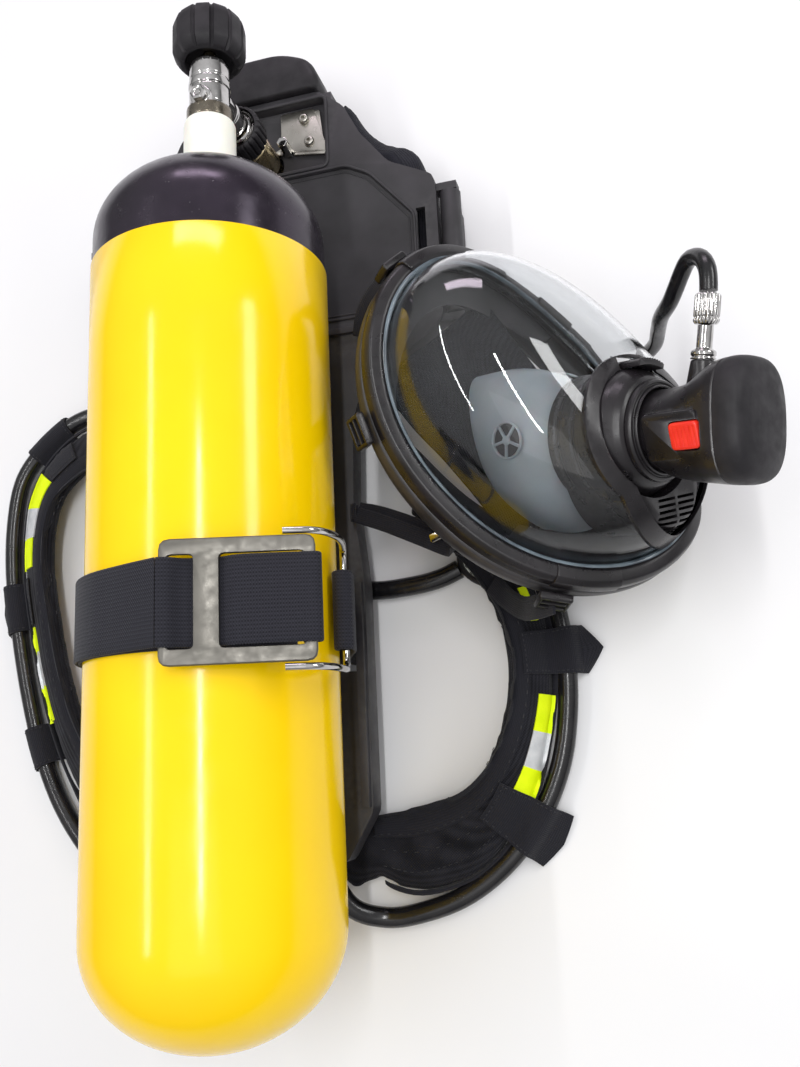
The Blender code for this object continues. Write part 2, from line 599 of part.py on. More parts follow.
def make_strap():
    radius = CYL_R + GAP + STRAP_T / 2
    band("cylinder_strap", WEBBING, 62, -98, radius, 26,
         tail=[(-0.0765, 0.112), (-0.0690, 0.085), (-0.0598, 0.060), (-0.0598, 0.044)])
    bar_x, bar_z = 0.0885, 0.148
    reach = 0.0052
    rings = []
    loop = [(bar_x - 0.0010 + reach * cos(radians(a)), bar_z + reach * sin(radians(a)))
            for a in (-20, 20, 60, 100, 140, 180, 210)]
    path = [(0.0598, 0.044), (0.0598, 0.062), (0.0700, 0.088), (0.0800, 0.112), (0.0880, 0.130)] + loop
    for i, (x, z) in enumerate(path):
        before, after = path[max(i - 1, 0)], path[min(i + 1, len(path) - 1)]
        along = Vector((after[0] - before[0], 0, after[1] - before[1])).normalized()
        out = Vector((along.z, 0, -along.x)) * STRAP_T / 2
        here, wide = Vector((x, STRAP_Y, z)), Vector((0, STRAP_WIDTH / 2 - 0.001, 0))
        rings.append([here + wide + out, here - wide + out, here - wide - out, here + wide - out])
    loft("strap_anchor", rings, WEBBING)

    tilt = radians(LEVER_TILT)
    centre = Vector((LEVER_LIFT * sin(tilt) + LEVER_SHIFT * cos(tilt), STRAP_Y,
                     CYL_AXIS_Z + LEVER_LIFT * cos(tilt) - LEVER_SHIFT * sin(tilt)))
    long, wide, thick = (s / 2 for s in LEVER_SIZE)
    pivot = 0.025               # from the lever's middle to its pivot on the bail
    hinge = centre + Vector((pivot * cos(tilt), 0, -pivot * sin(tilt)))
    axis = frame("lever_axis", hinge, (0, LEVER_TILT, 0))
    lever = slab("buckle_lever", rounded([(-long - pivot, -wide), (long - pivot, -wide),
                                          (long - pivot, wide), (-long - pivot, wide)], 0.006),
                 -thick, thick, GREY_METAL, parent=axis)
    bevel(lever, 0.0008, 1)
    windows = ((-long + 0.004, -long + 0.019), (-long + 0.033, long - 0.006))
    for i, (low, high) in enumerate(windows):
        window = [(low - pivot, -wide + 0.009), (high - pivot, -wide + 0.009),
                  (high - pivot, wide - 0.009), (low - pivot, wide - 0.009)]
        cut(lever, slab(f"lever_window_{i}", rounded(window, 0.003), -0.01, 0.01, parent=axis))
    side = wide + BAIL_R + 0.0006
    drop = ((0.076, hinge.z), (0.0930, 0.2060), (0.0975, 0.1900), (0.0955, 0.1680), (bar_x, bar_z))
    leg = [Vector((x - bar_x, 0, z - bar_z)) for x, z in drop]
    leg[0] = Vector((hinge.x - bar_x, 0, hinge.z - bar_z))
    points = ([p + Vector((0, side, 0)) for p in leg[:-1]]
              + [leg[-1] + Vector((0, side - 0.003, 0)), leg[-1] - Vector((0, side - 0.003, 0))]
              + [p - Vector((0, side, 0)) for p in leg[-2::-1]])
    tube("buckle_bail", points, BAIL_R, STEEL, at=(bar_x, STRAP_Y, bar_z))


# ---------------------------------------------------------------- shoulder harness and hoses
RIGHT_PAD = [                   # x, y, z, width, thickness, tilt
    (0.030, -0.2800, 0.0080, 0.030, 0.008, 0), (0.060, -0.2640, 0.0080, 0.046, 0.011, 0),
    (0.090, -0.2640, 0.0090, 0.052, 0.012, 6), (0.120, -0.2560, 0.0110, 0.052, 0.012, 14),
    (0.143, -0.2400, 0.0150, 0.050, 0.012, 28), (0.160, -0.2170, 0.0190, 0.048, 0.012, 42),
    (0.171, -0.1900, 0.0220, 0.046, 0.012, 52), (0.178, -0.1600, 0.0225, 0.044, 0.012, 56),
    (0.179, -0.1300, 0.0225, 0.044, 0.012, 56), (0.173, -0.1000, 0.0210, 0.046, 0.011, 48),
    (0.163, -0.0740, 0.0250, 0.044, 0.008, 22), (0.146, -0.0500, 0.0230, 0.040, 0.006, 8),
    (0.126, -0.0300, 0.0195, 0.036, 0.005, 0), (0.106, -0.0120, 0.0150, 0.034, 0.004, 0),
]
LEFT_PAD = [
    (-0.030, -0.2800, 0.0080, 0.030, 0.008, 0), (-0.060, -0.2680, 0.0080, 0.046, 0.011, 0),
    (-0.092, -0.2700, 0.0090, 0.052, 0.012, -6), (-0.124, -0.2580, 0.0110, 0.052, 0.012, -14),
    (-0.152, -0.2360, 0.0150, 0.050, 0.012, -28), (-0.176, -0.2050, 0.0190, 0.048, 0.012, -42),
    (-0.194, -0.1680, 0.0215, 0.046, 0.012, -50), (-0.208, -0.1280, 0.0220, 0.045, 0.012, -54),
    (-0.219, -0.0860, 0.0220, 0.044, 0.012, -56), (-0.227, -0.0420, 0.0220, 0.044, 0.012, -56),
    (-0.227, -0.0020, 0.0220, 0.045, 0.012, -54), (-0.218, 0.0320, 0.0200, 0.046, 0.011, -44),
    (-0.196, 0.0530, 0.0200, 0.042, 0.009, -22), (-0.166, 0.0620, 0.0240, 0.038, 0.006, -8),
    (-0.132, 0.0600, 0.0280, 0.036, 0.004, 0), (-0.100, 0.0500, 0.0300, 0.034, 0.003, 0),
]
SUPPLY_ROUTE = [
    (0.022, OUTLET_Y - 0.0125, 0.0225), (0.022, 0.225, 0.0225), (0.022, 0.180, 0.0225), (0.022, 0.110, 0.0225),
    (0.022, 0.030, 0.0225), (0.022, -0.060, 0.0225), (0.022, -0.150, 0.0225), (0.022, -0.215, 0.0260),
    (0.026, -0.262, 0.0290), (0.040, -0.298, 0.0220), (0.064, -0.309, 0.0110), (0.094, -0.305, HOSE_Z),
    (0.124, -0.294, HOSE_Z), (0.152, -0.274, HOSE_Z), (0.176, -0.246, HOSE_Z), (0.193, -0.212, HOSE_Z),
    (0.201, -0.176, HOSE_Z), (0.203, -0.140, HOSE_Z), (0.200, -0.110, HOSE_Z), (0.196, -0.086, HOSE_Z),
    (0.194, -0.066, HOSE_Z),
]
GAUGE_ROUTE = [
    (-0.022, OUTLET_Y - 0.0125, 0.0225), (-0.022, 0.225, 0.0225), (-0.022, 0.180, 0.0225),
    (-0.022, 0.110, 0.0225), (-0.022, 0.030, 0.0235), (-0.022, -0.045, 0.0265), (-0.022, -0.130, 0.0245),
    (-0.022, -0.215, 0.0260), (-0.026, -0.262, 0.0290), (-0.040, -0.300, 0.0220), (-0.068, -0.312, 0.0110),
    (-0.102, -0.306, HOSE_Z), (-0.136, -0.290, HOSE_Z), (-0.168, -0.264, HOSE_Z), (-0.196, -0.228, HOSE_Z),
    (-0.216, -0.186, HOSE_Z), (-0.230, -0.140, HOSE_Z), (-0.241, -0.090, HOSE_Z), (-0.249, -0.040, HOSE_Z),
    (-0.250, 0.006, HOSE_Z), (-0.243, 0.044, HOSE_Z), (-0.222, 0.070, HOSE_Z), (-0.190, 0.090, HOSE_Z),
    (-0.155, 0.092, 0.0090), (-0.118, 0.070, 0.0080), (-0.080, 0.026, 0.0080), (-0.040, -0.020, 0.0080),
    (-0.006, -0.052, 0.0080), (0.030, -0.070, 0.0080), (0.064, -0.078, 0.0080), (0.096, -0.077, 0.0080),
    (0.116, -0.0735, 0.0080), (0.1305, -0.0680, 0.0080),
]
GAUGE_R = 0.0225
GAUGE_AT = (0.1520, -0.0597, 0.0010)
DEMAND_ROUTE = [
    (0.1925, -0.0300, HOSE_Z), (0.1950, -0.0120, 0.0095), (0.2010, 0.0060, 0.0080), (0.2120, 0.0260, 0.0065),
    (0.2280, 0.0430, 0.0060), (0.2480, 0.0570, 0.0070), (0.2665, 0.0655, 0.0150), (0.2785, 0.0680, 0.0300),
    (0.2855, 0.0670, 0.0500), (0.2880, 0.0655, 0.0760), (0.2905, 0.0625, 0.1040), (0.2970, 0.0610, 0.1310),
]
DEMAND_ARCH_R = 0.0200          # the hose's bend as it leaves its nut
DEMAND_ARCH_TO = (-0.439, 0.273, -0.856)


def along_route(route, near, length):
    """The stretch of the hose's own line that is centred on a point in X and Y."""
    line = smooth_route(route, 0.028)
    fine = []
    for p, q in zip(line, line[1:]):
        fine += [(p.lerp(q, k / 8), k == 0) for k in range(8)]
    middle = min(range(len(fine)), key=lambda i: (fine[i][0].xy - Vector(near)).length)
    first = last = middle
    while (fine[first][0] - fine[middle][0]).length < length / 2:
        first -= 1
    while (fine[last][0] - fine[middle][0]).length < length / 2:
        last += 1
    kept = [p for i, (p, corner) in enumerate(fine[first:last + 1]) if corner or i in (0, last - first)]
    return kept, fine[middle][0]


def sleeve_rings(line, radius, grow=0.0):
    """Circles across a line; its ends are pushed out by grow."""
    line = [Vector(p) for p in line]
    line[0] = line[0] + (line[0] - line[1]).normalized() * grow
    line[-1] = line[-1] + (line[-1] - line[-2]).normalized() * grow
    rings = []
    for i, here in enumerate(line):
        along = (line[min(i + 1, len(line) - 1)] - line[max(i - 1, 0)]).normalized()
        side = along.cross(Vector((0, 0, 1))).normalized()
        up = side.cross(along)
        rings.append([here + (side * cos(2 * pi * k / 16) + up * sin(2 * pi * k / 16)) * radius for k in range(16)])
    return rings


def keeper(name, route, near, length, flap):
    """Hook-and-loop band round the hose, its free end standing out sideways by flap."""
    line, centre = along_route(route, near, length)
    inner, outer = HOSE_R + 0.0008, HOSE_R + 0.0033
    made = loft(name, sleeve_rings(line, outer), FABRIC)
    heading = (line[-1] - line[0]).normalized()
    side = heading.cross(Vector((0, 0, 1))) * (1 if flap > 0 else -1)
    base = Matrix.Translation(centre + side * (outer - 0.0014)) @ Matrix(
        (side, heading, Vector((0, 0, 1)))).transposed().to_4x4()
    tab = box(f"{name}_flap", (0, -length * 0.46, -0.0012), (abs(flap), length * 0.46, 0.0012))
    tab.matrix_world = base
    join(made, tab)
    return cut(made, loft(f"{name}_bore", sleeve_rings(line, inner, 0.004)))


def make_harness():
    for side, stations, route in (("right", RIGHT_PAD, SUPPLY_ROUTE), ("left", LEFT_PAD, GAUGE_ROUTE)):
        pad = sweep(f"shoulder_pad_{side}", stations, FABRIC)
        line = smooth_route(route, 0.028)
        cut(pad, loft(f"hose_groove_{side}", sleeve_rings(line, HOSE_R + 0.0010)))
    tube("supply_hose", smooth_route(SUPPLY_ROUTE, 0.028), HOSE_R, HOSE)
    tube("gauge_hose", smooth_route(GAUGE_ROUTE, 0.028), HOSE_R, HOSE)
    end = Vector(SUPPLY_ROUTE[-1])
    turned("hose_union", [(0.0016, 0.0344), (0.0070, 0.0344), (0.0078, 0.0330), (0.0078, 0.0240), (0.0064, 0.0230),
                          (0.0064, 0.0200), (0.0095, 0.0190), (0.0095, 0.0050), (0.0085, 0.0012), (0.0016, 0.0012)],
           CHROME, 24, closed=True, at=end, turn=(-90, 0, 3))
    case = disc("gauge_case", GAUGE_R, 0, 0.0130, RUBBER, 32, 0.002, at=GAUGE_AT)
    cut(case, disc("gauge_recess", GAUGE_R - 0.0035, 0.0100, 0.02, steps=32, at=GAUGE_AT))
    join(case, disc("needle_pin", 0.0009, 0.008, 0.0128, steps=8, at=GAUGE_AT))
    spin = frame("needle_axis", GAUGE_AT)
    needle = box("gauge_needle", (-0.0040, -0.0007, 0.0108), (0.0150, 0.0007, 0.0118), WHITE, parent=spin)
    join(needle, disc("needle_hub", 0.0024, 0.0106, 0.0122, steps=12, parent=spin))
    cut(needle, disc("needle_bore", 0.0012, 0, 0.03, steps=8, parent=spin))
    keeper("keeper_right_upper", SUPPLY_ROUTE, (0.201, -0.134), 0.034, 0.014)
    keeper("keeper_right_lower", SUPPLY_ROUTE, (0.172, -0.250), 0.036, 0.012)
    keeper("keeper_left_upper", GAUGE_ROUTE, (-0.215, 0.076), 0.036, -0.010)
    keeper("keeper_left_middle", GAUGE_ROUTE, (-0.244, -0.066), 0.038, -0.010)
    keeper("keeper_left_lower", GAUGE_ROUTE, (-0.218, -0.180), 0.034, -0.008)


# ---------------------------------------------------------------- mask
def rim_point(angle, scale=1.0, grow=0.0, back=0.0):
    """A point on the visor's edge in the mask's frame: angle from the brow towards the wearer's right."""
    s, c = sin(angle), cos(angle)
    power = 2 / RIM_POWER
    x = (1 if s > 0 else -1) * abs(s) ** power
    z = (1 if c > 0 else -1) * abs(c) ** power
    return Vector(((RIM_W * scale + grow) * x, -RIM_SWEEP * x * x - back, (RIM_H * scale + grow) * z))


def rim_ring(section, count):
    """Rings of points round the rim for a section of (outward, backward) pairs."""
    return [[rim_point(2 * pi * i / count, 1.0, out, back) for out, back in section] for i in range(count)]


def visor_rings(inset, count, rows):
    """Rings of the dome from the rim to its front, where it is nearly flat."""
    rings = []
    for k in range(rows):
        t = pi / 2 * k / (rows - 0.4)
        shrink = max(cos(t), 0.02) ** 0.52
        rise = (VISOR_DEPTH - inset) * sin(t)
        ring_ = []
        for i in range(count):
            p = rim_point(2 * pi * i / count, 1.0, -inset)
            ring_.append(Vector((p.x * shrink, p.y * shrink ** 3 + rise, p.z * shrink - 0.010 * sin(t) ** 2)))
        rings.append(ring_)
    return rings


def make_mask():
    mask = frame("mask_frame", MASK_AT, MASK_TURN)
    port = frame("port_frame", PORT_AT, (-90 - PORT_DROP, 0, 0), mask)
    count = 40
    outer, inner = visor_rings(GAP, count, 7), visor_rings(GAP + VISOR_T, count, 7)
    skin = outer[::-1] + inner
    visor = loft("mask_visor", skin, CLEAR, caps=False, parent=mask)
    close_visor(visor, count, len(outer))
    housing_space = [disc("housing_space", PORT_R + 0.0006, -0.060, 0.030, steps=32, parent=port),
                     loft("chin_space", [chin_oval(1, z, 0.0006) for z in (-0.060, 0.030)], parent=port)]
    latch_space = box("visor_latch_space", (-0.0140, 0.0300, -0.0240), (0.0140, 0.0450, 0.02), parent=port)
    latch_space.rotation_euler = (0, 0, radians(DEMAND_ROLL))
    cut(visor, *housing_space, latch_space)

    band_ = [(0.0, -0.0045), (0.004, -0.0065), (0.0105, -0.005), (0.0125, 0.0), (0.0125, 0.006), (0.0, 0.006)]
    rim = loft("mask_rim", rim_ring(band_, 40), PLASTIC, closed=True, parent=mask)
    seal_ = [(0.0118, 0.0065), (0.0128, 0.012), (0.0100, 0.023), (-0.002, 0.0275), (-0.014, 0.0240),
             (-0.014, 0.0222), (-0.002, 0.0248), (0.0088, 0.0150), (0.0, 0.0065)]
    loft("face_seal", rim_ring(seal_, 40), RUBBER, closed=True, parent=mask)
    cut(rim, *housing_space)

    profile = [(0.0212, 0.0), (0.0300, 0.0), (0.0345, -0.004), (0.0375, -0.009), (PORT_R, -0.014),
               (PORT_R, -0.050), (0.0285, -0.050), (0.0285, -0.020), (0.0212, -0.020)]
    housing = turned("port_housing", profile, PLASTIC, 28, closed=True, parent=port)
    chin = loft("chin_block", [chin_oval(1, z) for z in (-0.050, -0.0220)], parent=port)
    cut(chin, disc("drum_bore", 0.0330, -0.06, 0.01, steps=32, parent=port))
    exhale = disc("exhale_way", 0.0080, -0.06, 0.01, steps=20, at=(0, 0.0535, 0), parent=port)
    cut(join(housing, chin), exhale)
    shape = ((1, -0.0217), (1, -0.0165), (0.97, -0.0100), (0.90, -0.0050), (0.80, -0.0025))
    cover = loft("exhalation_cover", [chin_oval(k, z) for k, z in shape], PLASTIC, parent=port)
    inside = ((1, -0.0300, -0.0030), (1, -0.0165, -0.0030), (0.95, -0.0110, -0.0030), (0.86, -0.0070, -0.0030))
    space = loft("cover_hollow", [chin_oval(k, z, grow) for k, z, grow in inside], parent=port)
    cut(space, disc("drum_wall", PORT_R + 0.0030, -0.06, 0.02, steps=36, parent=port),
        box("horn_wall", (-0.05, -0.05, -0.05), (0.05, 0.0300, 0.02), parent=port))
    cut(cover, space, disc("drum_space", PORT_R + 0.0004, -0.06, 0.02, steps=36, parent=port),
        box("horn_space", (-0.05, -0.05, -0.05), (0.05, 0.0240, 0.02), parent=port))
    for i in range(6):
        low = 0.0425 + 0.0034 * i
        for side in (-1, 1):
            inner, outer = sorted((side * 0.0022, side * (0.0235 - 0.0022 * i)))
            cut(cover, box(f"cover_slot_{i}_{side}", (inner, low, -0.0120), (outer, low + 0.0018, 0.01), parent=port))
    disc("exhalation_disc", 0.0096, -0.0217, -0.0205, RUBBER, 20, at=(0, 0.0535, 0), parent=port)
    ring("port_ring", 0.0240, 0.0300, 0.0004, 0.0060, PLASTIC, 36, parent=port)
    return mask, port


def chin_oval(scale, z, grow=0.0):
    """The exhalation chamber's outline in the port's frame, reaching from the port down to the chin."""
    points = []
    for i in range(24):
        s, c = sin(2 * pi * i / 24), cos(2 * pi * i / 24)
        points.append(Vector(((0.0360 * scale + grow) * s, 0.0220 + (0.0450 * scale + grow) * c, z)))
    return points


CUP_ROWS = 7
CUP_COUNT = 24


def cup_point(a, t):
    """The nose cup's middle skin: a runs round it from the brow, t from the port to the face."""
    s, c = sin(a), cos(a)
    near = Matrix.Rotation(radians(-90 - PORT_DROP), 3, "X") @ Vector((0.0300 * s, -0.0300 * c, -0.0520))
    near += Vector(PORT_AT)
    narrow = 1 - 0.38 * max(c, 0) ** 1.5
    far = Vector((0.0400 * s * narrow, -0.0300 - 0.006 * (1 - c) / 2 - 0.010 * s * s, -0.0220 + 0.0660 * c))
    swell = Vector((0.008 * s, 0.010 * max(c, 0), 0.004 * c)) * sin(pi * t)
    return near.lerp(far, t) + swell


def make_nose_cup(mask, port):
    """Silicone cup from the port's inner end to its oval edge, with a disc valve in each cheek."""
    rings = [[cup_point(2 * pi * i / CUP_COUNT, k / (CUP_ROWS - 1)) for i in range(CUP_COUNT)]
             for k in range(CUP_ROWS)]
    cup = loft("nose_cup", rings, CUP, caps=False, parent=mask)
    thick = cup.modifiers.new("Wall", "SOLIDIFY")
    thick.thickness = 0.0018
    thick.offset = 0
    thick.use_even_offset = False
    for name, side in (("inhalation_valve_right", 1), ("inhalation_valve_left", -1)):
        a, t = side * radians(58), 0.50
        here = cup_point(a, t)
        along, around = cup_point(a, t + 0.05) - here, cup_point(a + 0.05, t) - here
        out = along.cross(around).normalized()
        out = out if out.x * side > 0 else -out
        piece = turned(name, [(0, 0.0022), (0.0026, 0.0022), (0.0026, 0.0012), (0.0100, 0.0012), (0.0110, 0.0004),
                              (0.0110, 0), (0, 0)], CUP, 20, at=here + out * 0.0016, parent=mask)
        piece.rotation_euler = out.to_track_quat("Z", "Y").to_euler()


def make_head_harness(mask):
    """Head net tucked inside the mask, and the five buckles on the seal's lugs."""
    rings = []
    for k in range(7):
        t = k / 6
        row = []
        for i in range(9):
            u = i / 8 - 0.5
            row.append(Vector((0.020 + 0.064 * u, -0.0410 - 0.012 * t + 0.05 * u * u, 0.078 - 0.094 * t)))
        rings.append(row + [p + Vector((0, -0.0018, 0)) for p in reversed(row)])
    loft("head_net", rings, FABRIC, parent=mask)
    buckles = (("brow", 0), ("temple_right", 62), ("jaw_right", 132), ("jaw_left", 228), ("temple_left", 298))
    for name, angle in buckles:
        here = rim_point(radians(angle), 1.0, 0.0150, 0.0140)
        ahead = rim_point(radians(angle + 2), 1.0, 0.0150, 0.0140)
        along = (ahead - here).normalized()
        out = along.cross(Vector((0, 1, 0))).normalized()
        out = out if out.dot(Vector((here.x, 0, here.z))) > 0 else -out
        back = out.cross(along)
        buckle = box(f"buckle_{name}", (-0.0105, -0.0085, 0.0005), (0.0105, 0.0085, 0.0060), PLASTIC, 0.0010,
                     parent=mask)
        cut(buckle, box(f"buckle_{name}_bar", (-0.0080, -0.0050, -0.01), (0.0080, -0.0005, 0.02), parent=mask),
            box(f"buckle_{name}_eye", (-0.0080, 0.0010, -0.01), (0.0080, 0.0055, 0.02), parent=mask))
        turn = Matrix((along, back, out)).transposed().to_euler()
        for one in [buckle] + [m.object for m in buckle.modifiers if m.type == "BOOLEAN"]:
            one.location = here
            one.rotation_euler = turn


def make_demand_valve(port):
    """Lung demand valve: its own +Z leaves the mask and its +Y is the hose inlet."""
    valve = frame("demand_axis", (0, 0, 0), (0, 0, DEMAND_ROLL), port)
    shapes = ((0.0205, 0.0205, 2, -0.018), (0.0205, 0.0205, 2, 0.0), (0.0232, 0.0232, 2, 0.0012),
              (0.0232, 0.0232, 2, 0.024), (0.0235, 0.0242, 2.2, 0.0315), (0.0245, 0.0288, 2.6, 0.0395),
              (0.0258, 0.0332, 3.0, 0.0470), (0.0262, 0.0345, 3.0, 0.0535))
    body = loft("demand_valve_body", [oval(*shape, 24) for shape in shapes], PLASTIC, parent=valve)
    hollow = disc("demand_bore", 0.0165, -0.03, 0.0430, steps=24, parent=valve)
    chamber = loft("demand_chamber", [oval(0.0225, 0.0300, 3.0, 0.0425, 24), oval(0.0232, 0.0315, 3.0, 0.09, 24)],
                   parent=valve)
    inlet = dict(at=(0, 0, INLET_Z), turn=(INLET_TILT - 90, 0, 0), parent=valve)
    boss = turned("inlet_boss", [(0, 0.0365), (0.0068, 0.0365), (0.0088, 0.0180), (0, 0.0180)], steps=18, **inlet)
    side = frame("button_side", (0, 0, 0), (0, 0, BUTTON_TURN), valve)
    panel = box("button_panel", (-0.0252, -0.0135, 0.0085), (-0.0180, 0.0135, 0.0440), parent=side)
    seat = box("button_seat", (-0.03, -0.0080, BUTTON_Z - 0.0095), (-0.0120, 0.0080, BUTTON_Z + 0.0095), parent=side)
    feed = disc("inlet_feed", 0.0036, 0.010, 0.04, steps=12, **inlet)
    cut(join(body, boss, panel), hollow, chamber, seat, feed)
    caps = ((0.0262, 0.0345, 3.0, 0.0538), (0.0264, 0.0347, 3.0, 0.0590), (0.0256, 0.0337, 2.8, 0.0645),
            (0.0222, 0.0300, 2.6, 0.0685), (0.0140, 0.0215, 2.4, 0.0703))
    cap = loft("demand_valve_cap", [oval(*shape, 24) for shape in caps], RUBBER, parent=valve)
    cut(cap, loft("cap_hollow", [oval(0.0232, 0.0315, 3.0, 0.046, 24), oval(0.0232, 0.0315, 3.0, 0.0620, 24),
                                 oval(0.0190, 0.0263, 2.6, 0.0665, 24)], parent=valve))
    disc("demand_diaphragm", 0.0215, 0.0495, 0.0507, RUBBER, 28, parent=valve)
    button = frame("button_axis", (-0.0252, 0, BUTTON_Z), (0, 0, 0), side)
    box("demand_button", (-0.0020, -0.0076, -0.0090), (0.0090, 0.0076, 0.0090), RED, 0.0014, parent=button)
    turned("inlet_stem", [(0.0022, 0.0555), (0.0044, 0.0555), (0.0044, 0.0415), (0.0070, 0.0410),
                          (0.0070, 0.0368), (0.0022, 0.0368)], CHROME, 20, closed=True, **inlet)
    turned("hose_nut", [(0.0024, 0.0730), (0.0062, 0.0730), (0.0072, 0.0715), (0.0072, 0.0580),
                        (0.0060, 0.0562), (0.0024, 0.0558)], CHROME, 12, closed=True, **inlet)
    latch = box("port_latch", (-0.0125, 0.0340, -0.0220), (0.0125, 0.0425, -0.0020), PLASTIC, 0.0012, parent=valve)
    cut(latch, disc("latch_space", PORT_R + 0.0006, -0.05, 0.05, steps=36, parent=valve))
    bpy.context.view_layer.update()
    route = [Vector(p) for p in DEMAND_ROUTE]
    nut = bpy.data.objects["hose_nut"].matrix_world
    out = (nut.to_3x3() @ Vector((0, 0, 1))).normalized()
    over = Vector(DEMAND_ARCH_TO)
    over = (over - out * over.dot(out)).normalized() * DEMAND_ARCH_R
    start = nut @ Vector((0, 0, 0.0760))
    for angle in (120, 90, 60, 30, 0):
        a = radians(angle)
        route.append(start + over * (1 - cos(a)) + out * DEMAND_ARCH_R * sin(a))
    route.append(nut @ Vector((0, 0, 0.0745)))
    tube("demand_hose", smooth_route(route, 0.0095), THIN_HOSE_R, HOSE)


def oval(half_x, half_y, power, z, count):
    """A superellipse of points at one height."""
    points = []
    for i in range(count):
        s, c = sin(2 * pi * i / count), cos(2 * pi * i / count)
        points.append(Vector(((1 if s > 0 else -1) * abs(s) ** (2 / power) * half_x,
                              (1 if c > 0 else -1) * abs(c) ** (2 / power) * half_y, z)))
    return points


def close_visor(visor, count, rows):
    """Closes the dome's front, outside and inside, and joins the two skins round the edge."""
    bm = bmesh.new()
    bm.from_mesh(visor.data)
    bm.verts.ensure_lookup_table()
    bm.faces.new([bm.verts[i] for i in range(count)])
    bm.faces.new([bm.verts[len(bm.verts) - count + i] for i in range(count)][::-1])
    bmesh.ops.recalc_face_normals(bm, faces=bm.faces)
    bm.to_mesh(visor.data)
    bm.free()


def build():
    make_cylinder()
    make_valve()
    make_reducer()
    make_plate()
    make_belt_wing("hip_plate_right", 1)
    make_belt_wing("hip_plate_left", -1)
    make_lumbar_pad()
    make_strap()
    make_harness()
    mask, port = make_mask()
    make_nose_cup(mask, port)
    make_head_harness(mask)
    make_demand_valve(port)


build()
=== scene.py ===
"""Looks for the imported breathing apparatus: smooth pieces, soft goods and procedural materials.

The frame is the part's own: +Z up, +Y along the cylinder to its valve. Tables inside mm() are in
millimetres, all other lengths in metres.
"""

import json
from math import cos, pi, radians, sin

import bmesh
import bpy
from mathutils import Euler, Matrix, Vector, noise
from mathutils.bvhtree import BVHTree


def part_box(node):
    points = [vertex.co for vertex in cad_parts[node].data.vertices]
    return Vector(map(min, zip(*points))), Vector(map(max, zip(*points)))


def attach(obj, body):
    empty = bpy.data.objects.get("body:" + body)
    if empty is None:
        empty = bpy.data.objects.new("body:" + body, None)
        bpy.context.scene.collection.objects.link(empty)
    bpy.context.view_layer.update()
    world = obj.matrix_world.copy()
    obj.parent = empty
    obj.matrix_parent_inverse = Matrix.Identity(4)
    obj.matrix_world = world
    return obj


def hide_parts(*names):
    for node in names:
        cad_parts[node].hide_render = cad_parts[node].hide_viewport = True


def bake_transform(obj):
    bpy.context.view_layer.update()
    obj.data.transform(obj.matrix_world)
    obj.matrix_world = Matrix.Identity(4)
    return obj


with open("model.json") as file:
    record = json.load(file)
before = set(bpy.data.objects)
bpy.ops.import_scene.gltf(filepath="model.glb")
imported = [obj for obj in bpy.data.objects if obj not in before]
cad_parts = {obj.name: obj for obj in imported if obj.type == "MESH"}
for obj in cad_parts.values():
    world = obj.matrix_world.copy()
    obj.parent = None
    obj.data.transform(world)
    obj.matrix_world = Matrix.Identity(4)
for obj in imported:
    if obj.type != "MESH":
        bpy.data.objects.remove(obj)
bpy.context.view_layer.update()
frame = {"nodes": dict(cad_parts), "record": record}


def mm(*rows):
    """Rows of millimetres as tuples of metres."""
    return [tuple(value / 1000 for value in row) for row in rows]


# ---------------------------------------------------------------- the part's dimensions
CYL_R = 0.0785
CYL_BOTTOM = -0.360
CYL_AXIS_Z = 0.145
DOME = 0.066
SHOULDER = 0.060
SLEEVE_END = 0.122
NECK_Y = 0.202
COLLAR_END = 0.240
VALVE_END = 0.288
OUTLET_Y = 0.264
VALVE_R = 0.0146
PLATE_TOP = 0.0550
HOSE_R = 0.0070
THIN_HOSE_R = 0.0050
HOSE_STEP = 0.004
STRAP_Y = -0.112
PORT_R = 0.0385
BUTTON_Z = 0.0360
UP = Vector((0, 0, 1))

SUPPLY_ROUTE = mm(
    (22, 251.5, 22.5), (22, 225, 22.5), (22, 180, 22.5), (22, 110, 22.5), (22, 30, 22.5), (22, -60, 22.5),
    (22, -150, 22.5), (22, -215, 26), (26, -262, 29), (40, -298, 22), (64, -309, 11), (94, -305, 10.5),
    (124, -294, 10.5), (152, -274, 10.5), (176, -246, 10.5), (193, -212, 10.5), (201, -176, 10.5),
    (203, -140, 10.5), (200, -110, 10.5), (196, -86, 10.5), (194, -66, 10.5))
GAUGE_ROUTE = mm(
    (-22, 251.5, 22.5), (-22, 225, 22.5), (-22, 180, 22.5), (-22, 110, 22.5), (-22, 30, 23.5), (-22, -45, 26.5),
    (-22, -130, 24.5), (-22, -215, 26), (-26, -262, 29), (-40, -300, 22), (-68, -312, 11), (-102, -306, 10.5),
    (-136, -290, 10.5), (-168, -264, 10.5), (-196, -228, 10.5), (-216, -186, 10.5), (-230, -140, 10.5),
    (-241, -90, 10.5), (-249, -40, 10.5), (-250, 6, 10.5), (-243, 44, 10.5), (-222, 70, 10.5), (-190, 90, 10.5),
    (-155, 92, 9), (-118, 70, 8), (-80, 26, 8), (-40, -20, 8), (-6, -52, 8), (30, -70, 8), (64, -78, 8),
    (96, -77, 8), (116, -73.5, 8), (130.5, -68, 8))
